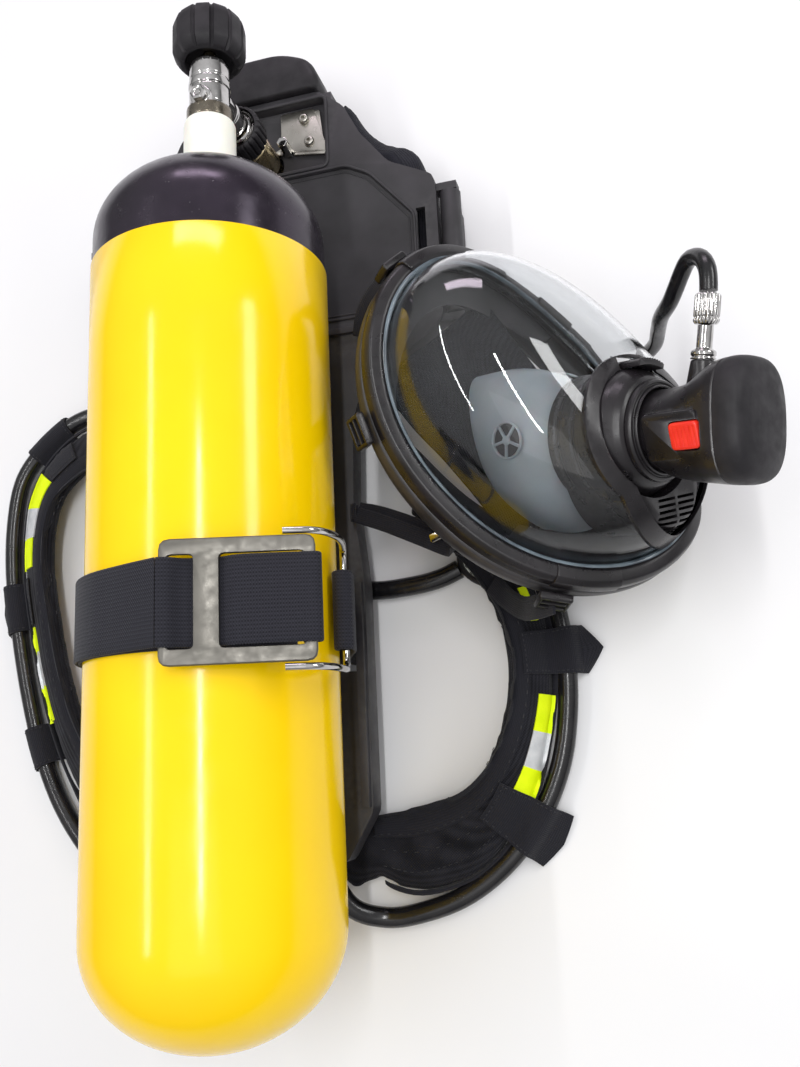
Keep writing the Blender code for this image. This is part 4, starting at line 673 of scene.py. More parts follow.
# ---------------------------------------------------------------- pressure reducer
def make_reducer():
    centre = place((0, OUTLET_Y, 0))
    rim = mm((16.6, 105.6), (18, 105.2), (19.2, 103.8), (19.5, 102), (19.5, 89), (18.8, 86.8), (17.5, 86), (6.2, 86),
             (6.2, 101.5), (16.6, 101.5))
    wear(turned("wheel_grip", rim, 192, True, centre, shape=grooves(24, 0.0173, 0.0011, 0.22)), "black_rubber",
         "handwheel", "reducer_handwheel")
    face = mm((10.3, 105.6), (11.8, 106), (12.8, 105.2), (13.2, 104.4), (14.5, 104.4), (14.9, 105.4), (16, 105.6),
              (16.4, 104.8), (16.4, 101.6), (10.3, 101.6))
    wear(turned("wheel_insert", face, 96, True, centre), "chrome", "handwheel")
    refined("reducer_body", 0.0004, "brass", flat=4)
    refined("relief_valve", 0.0005, "chrome")
    refined("reducer_bracket", 0.0005, "steel")
    outline = mm((15, 274), (52.5, 268), (52.8, 274.5), (43, 308.5), (15, 308.5))
    wear(bevel(slab("bracket_face", arc_corners(outline, 0.0022, 4), 0.0478, 0.0492), 0.0004), "steel")
    head = mm((0, 1.4), (1.5, 1.4), (1.6, 3.2), (2.4, 3.3), (3.4, 3), (4, 2.2), (4.2, 1.2), (4.1, 0.3), (1.7, 0.3),
              (1.7, -7), (0, -7))
    for name, x, y in (("bracket_screw_upper", 0.0350, 0.300), ("bracket_screw_lower", 0.0390, 0.279)):
        made = turned(f"{name}_head", head, 72, matrix=place((x, y, 0.0490)),
                      shape=lambda a, r, z: r if r > 0.0019 or z < 0.0012 else r * 1.1 * six_sided(a))
        wear(made, "steel", nodes=name)


# ---------------------------------------------------------------- back plate
def rail(name, outline, centre, offset, half, height, base=PLATE_TOP):
    """A raised rounded bead that follows a closed outline round a centre on the plate's face."""
    rings = []
    for i, here in enumerate(outline):
        along = outline[(i + 1) % len(outline)] - outline[i - 1]
        along = along.normalized() if along.length > 1e-7 else Vector((1, 0))
        out = Vector((along.y, -along.x))
        if out.dot(here - Vector(centre)) < 0:
            out = -out
        rings.append([(*(here + out * (offset + half * a)), base + height * b) for a, b in (
            (-1, -0.3), (-1, 0.45), (-0.75, 0.85), (-0.3, 1), (0.3, 1), (0.75, 0.85), (1, 0.45), (1, -0.3))])
    wear(loft(name, rings, closed=True, sharp=60), "plate_plastic")


def make_plate():
    refined("backplate", 0.0011, "plate_plastic", segments=3, sharp=60)
    label = mm((70, 246), (88, 236), (121, 196), (121, 122))
    label = arc_corners(label + [(-x, y) for x, y in reversed(label)], 0.004, 4)
    rail("label_border", label, (0, 0.2), 0.0013, 0.0011, 0.0015)
    rail("label_inner_bead", label, (0, 0.2), -0.0028, 0.0006, 0.0005, PLATE_TOP - 0.0018)
    pocket = arc_corners(mm((-46, 252), (54.5, 252), (54.5, 311.5), (-46, 311.5)), 0.0045, 4)
    rail("pocket_border", pocket, (0.004, 0.28), 0.0012, 0.0015, 0.0016)
    for side in ("right", "left"):
        refined(f"hip_plate_{side}", 0.0008, "plate_plastic", f"hip_{side}")
    outline = mm((49, 318.7), (51.5, 327.5), (45, 346), (20, 357.8))
    radii = [0.003, 0.010, 0.012, 0.016]
    shape = arc_corners(outline + [(-x, y) for x, y in reversed(outline)], radii + radii[::-1], 6)
    middle = Vector((0, 0.337))
    rings = [[(*(p + (middle - p).normalized() * inset), z) for p in shape] for z, inset in mm(
        (29.2, 2.2), (30, 0.8), (31.5, 0), (55.5, 0), (57.5, 0.6), (59.2, 1.9), (60.3, 4), (60.7, 6.5))]
    wear(loft("bumper_block", rings, sharp=50), "black_rubber", nodes="waist_bumper")
    refined("cylinder_saddle", 0.0008, "black_rubber")


# ---------------------------------------------------------------- webbing
def webbing(name, path, width, thick, matrix=None):
    """A flat band along a path of (point, outward normal), with rounded edges and ribs by UV."""
    half = ((1, 0), (0.985, 0.7), (0.95, 1), (0.6, 1), (0.2, 1), (-0.2, 1), (-0.6, 1), (-0.95, 1), (-0.985, 0.7))
    rings = []
    for (here, out), along in zip(path, directions([p for p, _ in path])):
        out = out.normalized()
        side = along.cross(out).normalized() * (width / 2)
        rings.append([here + side * a + out * (thick / 2 * b) for a, b in half]
                     + [here - side * a - out * (thick / 2 * b) for a, b in half])
    return loft(name, rings, matrix=matrix, sharp=60, uv=True)


def ribbon(points, step, sign=1):
    """(point, normal) pairs on a smooth route in a plane of constant Y."""
    line = smooth_route(points, step)
    return [(here, Vector((-along.z, 0, along.x)) * sign) for here, along in zip(line, directions(line))]


def girdle(radius, start, end, count):
    """(point, normal) pairs round the cylinder at the strap, between two angles from its top."""
    turns = [radians(start + (end - start) * k / count) for k in range(count + 1)]
    outs = [Vector((sin(a), 0, cos(a))) for a in turns]
    return [(Vector((0, STRAP_Y, CYL_AXIS_Z)) + out * radius, out) for out in outs]


def lever_matrix():
    """The lever's place: it stands 88.5 mm off the axis, tilted 18 degrees, and turns 25 mm along."""
    lift, shift, tilt = 0.0885, 0.0262 + 0.025, radians(18)
    return place((lift * sin(tilt) + shift * cos(tilt), STRAP_Y,
                  CYL_AXIS_Z + lift * cos(tilt) - shift * sin(tilt)), (0, 18, 0))


def make_strap():
    radius = CYL_R + 0.0014
    path = girdle(radius, 62, -98, 60)
    path += [(Vector((x, STRAP_Y, z)), Vector(out)) for x, z, out in (
        (-0.0765, 0.112, (-1, 0, 0.2)), (-0.0690, 0.085, (-1, 0, 0.3)), (-0.0598, 0.060, (-1, 0, 0.1)),
        (-0.0598, 0.044, (-1, 0, 0)))]
    wear(webbing("strap_webbing", path, 0.050, 0.0022), "black_webbing", nodes="cylinder_strap")

    # the outer layer, which leaves the cylinder for the lever's near bar
    path = girdle(radius + 0.0023, -97, -23, 30)
    lever = lever_matrix()
    bar, up = lever @ Vector((-0.0695, 0, 0.0030)), lever.to_3x3() @ UP
    start, out = path[-1]
    path += [(start.lerp(bar, t) + UP * (0.0006 * sin(pi * t)), out * (1 - t) + up * t)
             for t in (k / 6 for k in range(1, 7))]
    wear(webbing("strap_outer_layer", path, 0.0495, 0.0021), "black_webbing")

    rows = mm((-69, 3), (-66.5, 3.1), (-62.5, 2.2), (-58, -1.2), (-53, -3.2), (-45, -3.6), (-37, -3.4), (-32, -1.8),
              (-27, 1.4), (-20, 3), (-10, 3.4), (2, 3.3), (12, 3.2), (18, 3), (20, 1.6), (20.4, -0.4), (19.6, -2.6),
              (17, -3.6), (10, -3.6))
    threaded = ribbon([(x, 0, z) for x, z in rows], 0.0016)
    wear(webbing("lever_webbing", threaded, 0.0495, 0.0019, lever), "black_webbing", "lever")
    refined("buckle_lever", 0.0009, "grey_metal", "lever", segments=3)

    bar_x, bar_z, reach = 0.0885, 0.148, 0.0052
    rows = mm((59.8, 44), (59.8, 62), (70, 88), (80, 112), (88, 130))
    rows += [(bar_x - 0.0010 + reach * cos(radians(a)), bar_z + reach * sin(radians(a)))
             for a in (-20, 20, 60, 100, 140, 180, 210)]
    anchor = ribbon([(x, STRAP_Y, z) for x, z in rows], 0.0025, -1)
    wear(webbing("anchor_webbing", anchor, 0.048, 0.0022), "black_webbing", nodes="strap_anchor")

    hinge, side = lever.translation, 0.0377
    drop = [Vector((x, STRAP_Y, z)) for x, z in ((hinge.x, hinge.z), (0.0930, 0.2060), (0.0975, 0.1900),
                                                 (0.0955, 0.1680), (bar_x, bar_z))]
    half = [(p, side) for p in drop[:-1]] + [(drop[-1], side - 0.003)]
    line = [p + Vector((0, y, 0)) for p, y in half] + [p - Vector((0, y, 0)) for p, y in reversed(half)]
    line = arc_corners(line, 0.011, 8, cyclic=False)
    rings = []
    for here, along in zip(line, directions(line)):
        across = along.cross(Vector((0.3, 0.2, 0.9))).normalized()
        other = across.cross(along)
        rings.append([here + (across * cos(pi * k / 10) + other * sin(pi * k / 10)) * 0.0021 for k in range(20)])
    wear(loft("bail_wire", rings, sharp=50), "chrome", "bail", "buckle_bail")


# ---------------------------------------------------------------- padded harness
RIGHT_PAD = (
    (30, -280, 8, 30, 8, 0), (60, -264, 8, 46, 11, 0), (90, -265, 9, 61, 12, -2), (120, -256.5, 11, 59, 12, -6),
    (143, -240, 15, 48, 12, -14), (160, -217, 19, 42, 12, -28), (171, -190, 22, 38, 12, -40),
    (178, -160, 22.5, 37, 12, -44), (179, -130, 22.5, 37, 12, -44), (173, -100, 21.5, 38, 11, -36),
    (163, -74, 25, 38, 9, -16), (146, -50, 23, 36, 8.5, -6), (126, -30, 19.5, 34, 8.5, 0), (106, -12, 15, 32, 8.5, 0))
LEFT_PAD = (
    (-30, -280, 8, 30, 8, 0), (-60, -268, 8, 46, 11, 0), (-92, -270, 9, 50, 12, 2), (-122, -256, 11, 46, 12, 8),
    (-147, -233, 15, 42, 12, 18), (-168, -202, 18, 39, 12, 26), (-186, -166, 19.5, 38, 12, 31),
    (-199, -127, 20, 38, 12, 33), (-209, -85, 20, 38, 12, 33), (-217, -41, 20, 39, 12, 33), (-217, -3, 20, 40, 12, 32),
    (-210, 27, 19, 42, 11, 26), (-190, 50, 19, 40, 9, 14), (-164, 60, 23, 38, 8.5, 6), (-132, 60, 28, 36, 8.5, 0),
    (-100, 50, 30, 34, 8.5, 0))
PATCHES = {
    "right": (((180, -164), (178.5, -187), (0.12, 0.93), "hi_vis"),
              ((178.5, -187), (173, -209), (0.12, 0.93), "silver_tape"),
              ((173, -209), (165, -229), (0.12, 0.93), "hi_vis"), ((173, -92), (179, -114), (0.10, 0.42), "hi_vis")),
    "left": (((-206, 33), (-213, 12), (-0.93, 0.20), "hi_vis"), ((-213, 12), (-217, -12), (-0.93, 0.20), "silver_tape"),
             ((-217, -12), (-216, -36), (-0.93, 0.10), "hi_vis"), ((-209, -84), (-205, -104), (-0.93, -0.30), "hi_vis"),
             ((-205, -104), (-199, -129), (-0.93, -0.30), "silver_tape"),
             ((-199, -129), (-191, -156), (-0.93, -0.30), "hi_vis")),
}


def follow(stations, step):
    """Points of a pad's route, each with its width, thickness and tilt blended between stations."""
    spots = [Vector(s[:3]) for s in stations]
    result = []
    for here in smooth_route(spots, step):
        near = min(range(len(spots)), key=lambda i: (spots[i] - here).length)
        choices = []
        for i in (near - 1, near):
            if 0 <= i < len(spots) - 1:
                a, b = spots[i], spots[i + 1]
                t = max(0.0, min(1.0, (here - a).dot(b - a) / (b - a).length_squared))
                choices.append(((a.lerp(b, t) - here).length,
                                [u + (v - u) * t for u, v in zip(stations[i][3:], stations[i + 1][3:])]))
        result.append((here, *min(choices, key=lambda c: c[0])[1]))
    return result


def pad_frames(stations, step=0.004):
    """(point, across, outward, width, thickness) down a pad."""
    rows = follow(stations, step)
    frames = []
    for (here, width, thick, tilt), along in zip(rows, flat_directions([row[0] for row in rows])):
        side = along.cross(UP)
        c, s = cos(radians(tilt)), sin(radians(tilt))
        frames.append((here, side * c + UP * s, side * -s + UP * c, width, thick))
    return frames


def flat_directions(line):
    last = len(line) - 1
    steps = [line[min(i + 1, last)] - line[max(i - 1, 0)] for i in range(last + 1)]
    return [Vector((p.x, p.y, 0)).normalized() for p in steps]


def squared(value, power):
    return (1 if value > 0 else -1) * abs(value) ** power


def cushion(name, stations):
    """A pad lofted down its stations, remeshed and swelled so that its faces crown."""
    rings = []
    for here, across, out, width, thick in pad_frames(stations, 0.008):
        rings.append([here + across * (width / 2 * squared(cos(a), 0.5)) + out * (thick / 2 * squared(sin(a), 0.7))
                      for a in (2 * pi * k / 20 for k in range(20))])
    return swelled(loft(name, rings, sharp=180), 0.0020)


def swelled(made, cap):
    """Cloth under pressure, with each vertex held within cap of its start."""
    step = made.modifiers.new("grid", "REMESH")
    step.mode = "VOXEL"
    step.voxel_size = 0.005
    settle(made)
    start = [v.co.copy() for v in made.data.vertices]
    swell = made.modifiers.new("swell", "CLOTH")
    cloth = swell.settings
    cloth.quality = 4
    cloth.use_pressure = True
    cloth.uniform_pressure_force = 3.5
    cloth.effector_weights.gravity = 0.0
    cloth.tension_stiffness = cloth.compression_stiffness = 12
    cloth.shear_stiffness = 6
    scene = bpy.context.scene
    scene.frame_start, scene.frame_end = 1, 20
    swell.point_cache.frame_start, swell.point_cache.frame_end = 1, 20
    for number in range(1, 21):
        scene.frame_set(number)
    settle(made)
    scene.frame_set(1)
    for v, old in zip(made.data.vertices, start):
        move = v.co - old
        if move.length > cap:
            move *= cap / move.length
        v.co = old + move
        v.co.z = max(v.co.z, 0.0003)
    step = made.modifiers.new("smooth", "SUBSURF")
    step.levels = step.render_levels = 1
    return settle(made, 180)


def stretch(frames, span):
    """The frames between the ones nearest to two points."""
    first, last = sorted(min(range(len(frames)), key=lambda i: (frames[i][0].xy - Vector(at)).length) for at in span)
    return frames[first:last + 1]


def surface(obj):
    return BVHTree.FromObject(obj, bpy.context.evaluated_depsgraph_get())


def drop_on(tree, pad_frame, share):
    """Where a line against the pad's outward side meets it, at a share of its half width."""
    here, across, out, width, _ = pad_frame
    return tree.ray_cast(here + across * (share * width / 2) + out * 0.04, -out, 0.08)[:2]


def patch_on(name, pad, frames, shares, look_name, lift, thick):
    """A thin strip laid on a pad's outer face."""
    tree, rings = surface(pad), []
    for each in frames:
        here, across, out, width, deep = each
        row = []
        for k in range(9):
            share = shares[0] + (shares[1] - shares[0]) * k / 8
            spot = drop_on(tree, each, share)[0] or here + across * (share * width / 2) + out * (deep / 2)
            row.append(spot + out * lift)
        rings.append(row + [p - out * thick for p in reversed(row)])
    for _ in range(2):
        for i in range(1, len(rings) - 1):
            rings[i] = [(a + 2 * b + c) / 4 for a, b, c in zip(rings[i - 1], rings[i], rings[i + 1])]
    wear(loft(name, rings, sharp=60, uv=True), look_name)


def surface_line(pad, frames, share, lift):
    tree = surface(pad)
    hits = [drop_on(tree, each, share) for each in frames]
    return [(spot + normal * lift, normal) for spot, normal in hits if spot]


def stitches(name, rows, spacing=0.0042, size=0.00035):
    """Short thread bars along lines of surface points with normals."""
    bm = bmesh.new()
    for line in rows:
        walked = 0.0
        for (p, n), (q, _) in zip(line, line[1:]):
            walked += (q - p).length
            if walked < spacing:
                continue
            walked = 0.0
            along = (q - p).normalized()
            side = along.cross(n).normalized()
            for k in range(6):
                ends = []
                for t in (k / 6 - 0.5, (k + 1) / 6 - 0.5):
                    centre = p + along * (t * spacing * 0.62) + n * (size * 0.6 * cos(pi * t))
                    ends.append([bm.verts.new(centre + side * (size * a) + n * (size * b))
                                 for a, b in ((1, 0), (0, 1), (-1, 0), (0, -1))])
                for i in range(4):
                    j = (i + 1) % 4
                    bm.faces.new((ends[0][i], ends[0][j], ends[1][j], ends[1][i]))
    wear(as_object(name, bm, sharp=60), "thread")


def make_pads():
    pads = {}
    for side, inner, table in (("right", -1, RIGHT_PAD), ("left", 1, LEFT_PAD)):
        stations = [(*mm(row[:5])[0], row[5]) for row in table]
        pads[side] = pad = cushion(f"shoulder_pad_{side}_cushion", stations)
        wear(pad, "air_mesh", nodes=f"shoulder_pad_{side}")
        frames = pad_frames(stations)
        whole = stretch(frames, (stations[1][:2], stations[-2][:2]))
        foot = stretch(frames, (stations[1][:2], stations[4][:2]))
        for part, low, high in (("inner", 0.34, 0.985), ("outer", -0.985, -0.88)):
            patch_on(f"binding_{side}_{part}", pad, whole, sorted((inner * low, inner * high)), "binding", 0.0012,
                     0.0018)
        for i, (first, last, shares, look_name) in enumerate(PATCHES[side]):
            patch_on(f"reflective_{side}_{i}", pad, stretch(frames, mm(first, last)), shares, look_name, 0.0010,
                     0.0015)
        stitches(f"pad_stitches_{side}", [surface_line(pad, rows, share, lift) for rows, share, lift in (
            (whole, inner * 0.42, 0.0014), (whole, inner * 0.90, 0.0014), (foot, 0.0, 0.0002),
            (foot, inner * -0.45, 0.0002))])
    bm = bmesh.new()
    bm.from_mesh(frame["nodes"]["lumbar_pad"].data)
    lumbar = swelled(as_object("lumbar_pad_cushion", bm), 0.004)
    wear(lumbar, "black_fabric", nodes="lumbar_pad")
    return pads


def keeper(part, route, pad, near, length, inner, outer, tip):
    """A hook-and-loop band over a pad's edge and the hose, with a free end on the floor side.
    inner and outer are how far it reaches each way, and tip how much longer its middle is there."""
    tree = surface(pad)
    line = smooth_route(route, 0.002)
    middle = min(range(len(line)), key=lambda i: (line[i].xy - Vector(near)).length)
    reach = round(length / 2 / 0.002)
    line = line[middle - reach:middle + reach + 1]
    count = len(line)
    rings = []
    for i, (here, along) in enumerate(zip(line, directions(line))):
        side = along.cross(UP).normalized() * (1 if outer > 0 else -1)
        far = abs(outer) + tip * (1 - abs(2 * i / (count - 1) - 1))
        top = []
        for k in range(9):
            d = -inner + (inner - HOSE_R - 0.0040) * k / 8
            spot = here + side * d
            hit = tree.ray_cast(Vector((spot.x, spot.y, 0.12)), -UP)[0]
            top.append((d, max((hit.z if hit else 0.0) + 0.0030 - here.z, 0.0035 - here.z)))
        bulge = HOSE_R + 0.0026
        top += [(bulge * cos(radians(a)), bulge * sin(radians(a))) for a in (140, 120, 100, 80, 60, 40, 20)]
        rise = 0.0040 * noise.noise(Vector((near[0] * 90, near[1] * 90, i * 0.05)))
        top += [(HOSE_R + 0.0040, -0.0010), (far * 0.75, -0.0048 + rise), (far, -0.0068 + rise * 1.6)]
        for _ in range(3):
            mid = [(p[1] + 2 * q[1] + r[1]) / 4 for p, q, r in zip(top, top[1:], top[2:])]
            top = [top[0]] + [(q[0], max(m, q[1] - 0.0002)) for q, m in zip(top[1:-1], mid)] + [top[-1]]
        ring = [(here + side * a + UP * b, 0.0022) for a, b in top]
        ring += [(here + side * a + UP * (b - 0.0019), 0.0004) for a, b in reversed(top)]
        rings.append([Vector((p.x, p.y, max(p.z, lowest))) for p, lowest in ring])
    name = f"keeper_band_{part}"
    wear(loft(name, rings, sharp=55, uv=True), "binding", nodes=f"keeper_{part}")
    hem = [[rings[i][k] for k in range(1, 18)] for i in (1, count - 2)] + [[ring[1] for ring in rings]]
    stitches(f"{name}_hem", [[(p + UP * 0.0001, UP) for p in row] for row in hem], 0.0030, 0.0004)


def make_keepers(pads):
    for part, route, *sizes in (("right_upper", SUPPLY_ROUTE, 201, -134, 32, 26, 14, 12),
                                ("right_lower", SUPPLY_ROUTE, 172, -250, 36, 32, 19, 3),
                                ("left_upper", GAUGE_ROUTE, -215, 76, 40, 40, -13, 2),
                                ("left_middle", GAUGE_ROUTE, -244, -66, 38, 24, -14, 2),
                                ("left_lower", GAUGE_ROUTE, -218, -180, 34, 20, -12, 2)):
        x, y, *rest = mm(sizes)[0]
        keeper(part, route, pads[part.split("_")[0]], (x, y), *rest)


# ---------------------------------------------------------------- mask
def rim_point(angle, grow=0.0, back=0.0):
    """A point on the visor's edge in the mask's frame: angle from the brow towards the wearer's right."""
    x, z = squared(sin(angle), 2 / 2.16), squared(cos(angle), 2 / 2.16)
    return Vector(((0.083 + grow) * x, -0.028 * x * x - back, (0.1145 + grow) * z))


def rim_loop(section, count=180, low=0.0, high=360.0):
    steps = count if high - low == 360 else count - 1
    turns = [radians(low + (high - low) * i / steps) for i in range(count)]
    return [[rim_point(a, out, back) for out, back in section] for a in turns]


def chin_oval(scale, z, grow=0.0):
    """A ring of the port's chin."""
    turns = [2 * pi * i / 72 for i in range(72)]
    return [((0.0360 * scale + grow) * sin(a), 0.0220 + (0.0450 * scale + grow) * cos(a), z) for a in turns]


def rod(radius, low, high, matrix=PORT, steps=96):
    return turned("rod", [(0, high), (radius, high), (radius, low), (0, low)], steps, matrix=matrix)


def visor_skin(inset):
    """Rings of the visor's outer face, moved inwards by inset, from its edge to its front."""
    rings = []
    for k in range(30):
        t = pi / 2 * k / 29.6
        shrink = max(cos(t), 0.02) ** 0.52
        rise = (0.057 - inset) * sin(t)
        rings.append([Vector((p.x * shrink, p.y * shrink ** 3 + rise, p.z * shrink - 0.010 * sin(t) ** 2))
                      for p in (rim_point(2 * pi * i / 144, -inset) for i in range(144))])
    return rings


def port_space(wide=0.0006):
    """The room that the port's drum and chin take in the visor and the rim."""
    chin = [chin_oval(1, z, wide) for z in (-0.060, 0.030)]
    return [rod(PORT_R + wide, -0.06, 0.03), loft("chin", chin, matrix=PORT)]


def catch():
    return block("catch", (-0.0140, 0.0300, -0.0240), (0.0140, 0.0450, 0.02), VALVE)


def make_visor():
    visor = loft("visor_shell", visor_skin(0.0003)[::-1] + visor_skin(0.0025), matrix=MASK, sharp=60)
    wear(boolean(visor, port_space() + [catch()]), "clear_visor", nodes="mask_visor")
    collar = loft("port_collar", visor_skin(-0.0016)[::-1] + visor_skin(0.0001), matrix=MASK, sharp=60)
    zone, chin = port_space(0.0085)
    boolean(collar, [boolean(zone, [chin], "UNION")], "INTERSECT")
    wear(bevel(boolean(collar, port_space() + [catch()]), 0.0004, 2, 40), "black_plastic")


def make_rim():
    section = mm((0.3, -4.5), (4, -6.5), (10.5, -5.2), (12.5, -1), (12.5, 5.2), (11.2, 6), (0.4, 6))
    rim = loft("rim_frame", rim_loop(arc_corners(section, 0.0012, 3)), closed=True, matrix=MASK, sharp=50)
    wear(boolean(rim, port_space()), "black_plastic", nodes="mask_rim")
    clamp = mm((0.2, -5.2), (4.5, -8), (10.8, -7), (13.5, -3), (13.8, 4), (12.8, 5.2), (12.6, 0), (10.6, -5),
               (4, -6.4))
    for name, low, high in (("clamp_brow", -48, 4), ("clamp_temple_left", 282, 296), ("clamp_jaw", 128, 150)):
        made = loft(name, rim_loop(clamp, 40, low, high), matrix=MASK, sharp=50)
        wear(bevel(made, 0.0005), "black_plastic")
    bead = mm((-0.4, -4.8), (0.2, -6.4), (1.4, -7.2), (2.6, -6.6), (2, -5))
    wear(loft("rim_bead", rim_loop(bead), closed=True, matrix=MASK, sharp=60), "visor_edge")


def make_seal():
    outline = mm((11.8, 6.5), (13.2, 11.5), (12, 18), (8, 24.5), (-1, 27.8), (-10, 26.2), (-14.5, 22.8),
                 (-14.6, 21.6), (-13.5, 21.2), (-9, 23.2), (-1, 24.8), (6, 20.5), (8.6, 15.5), (6, 10), (0.4, 6.6))
    skirt = loft("seal_skirt", rim_loop(arc_corners(outline, 0.0030, 3)), closed=True, matrix=MASK, sharp=70)
    wear(skirt, "seal_rubber", nodes="face_seal")
    for part, low, high, reach, deep in (("brow", -75, 62, 0.0175, 0.0100), ("chin", 68, 262, 0.0330, 0.0170)):
        rings = []
        for k in range(120):
            t = k / 119
            ease = sin(pi * t) ** 0.35
            r, d = reach * ease + 0.002, deep * ease + 0.0070
            section = [(0, 0.0068), (-r * 0.5, d * 0.72), (-r * 0.88, d * 0.93), (-r, d), (-r * 0.99, d + 0.0010),
                       (-r * 0.86, d * 0.93 + 0.0018), (-r * 0.5, d * 0.72 + 0.0018), (-0.0002, 0.0088)]
            a = radians(low + (high - low) * t)
            rings.append([rim_point(a, out, back) for out, back in section])
        wear(loft(f"seal_flap_{part}", rings, matrix=MASK, sharp=70), "seal_rubber")


def cup_point(a, t):
    """A point of the nose cup, from the port at t = 0 to the face at t = 1."""
    s, c = sin(a), cos(a)
    near = Matrix.Rotation(radians(-116.6), 3, "X") @ Vector((0.0300 * s, -0.0300 * c, -0.0520))
    near += Vector((0, 0.0535, -0.0568))
    narrow = 1 - 0.38 * max(c, 0) ** 1.5
    far = Vector((0.0400 * s * narrow, -0.0300 - 0.006 * (1 - c) / 2 - 0.010 * s * s, -0.0220 + 0.0660 * c))
    swell = Vector((0.008 * s, 0.010 * max(c, 0), 0.004 * c)) * sin(pi * t)
    return near.lerp(far, t) + swell


def make_nose_cup():
    rings = [[cup_point(2 * pi * i / 96, k / 21) for i in range(96)] for k in range(22)]
    cup = loft("nose_cup_skin", rings, caps=False, matrix=MASK, sharp=80)
    step = cup.modifiers.new("wall", "SOLIDIFY")
    step.thickness = 0.0018
    step.offset = 0
    settle(cup, 80)
    wear(bevel(cup, 0.0005, 2, 50, 80), "grey_silicone", nodes="nose_cup")
    for side, node in ((1, "right"), (-1, "left")):
        a, t, body = side * radians(58), 0.50, f"inhalation_{node}"
        here = cup_point(a, t)
        out = (cup_point(a, t + 0.05) - here).cross(cup_point(a + 0.05, t) - here).normalized()
        out = out if out.x * side > 0 else -out
        at = MASK @ Matrix.Translation(here + out * 0.0016) @ out.to_track_quat("Z", "Y").to_matrix().to_4x4()
        seat = turned(f"inhalation_seat_{node}", mm((10.3, 0.8), (11, 1.6), (11.7, 0.8), (11.4, 0), (10.3, 0)), 72,
                      True, at)
        spokes = [block("arm", (0.0018, -0.0008, 0.0002), (0.0106, 0.0008, 0.0015),
                        at @ Matrix.Rotation(2 * pi * k / 5 + 0.3, 4, "Z")) for k in range(5)]
        hub = turned("hub", mm((0, 2.3), (1.6, 2.1), (2.7, 1.6), (2.9, 0.4), (0, 0.2)), 40, matrix=at)
        boolean(seat, spokes + [hub], "UNION")
        wear(bevel(seat, 0.0002), "grey_silicone", body, f"inhalation_valve_{node}")
        flap = mm((0, 0.1), (10, 0.1), (10.4, -0.3), (10, -0.6), (0, -0.6))
        wear(turned(f"inhalation_flap_{node}", flap, 56, matrix=at), "black_rubber", body)


def make_net():
    rows = []
    for k in range(40):
        t, row = k / 39, []
        for i in range(44):
            u = i / 43 - 0.5
            fold = 0.0018 * sin(9 * u + 5 * t) + 0.0014 * noise.noise(Vector((u * 5, t * 6, 0.3)))
            row.append(Vector((0.004 + 0.112 * u, -0.0400 - 0.012 * t + 0.045 * u * u + fold, 0.084 - 0.134 * t)))
        rows.append(row)
    rings = [row + [p + Vector((0, -0.0014, 0)) for p in reversed(row)] for row in rows]
    net = loft("head_net_fabric", rings, matrix=MASK, sharp=60, uv=True)
    wear(net, "air_mesh", nodes="head_net")


# ---------------------------------------------------------------- mask port
def horn(reach):
    """All that lies on the drum's side of the chin."""
    return block("horn", (-0.05, -0.05, -0.05), (0.05, reach, 0.02), PORT)


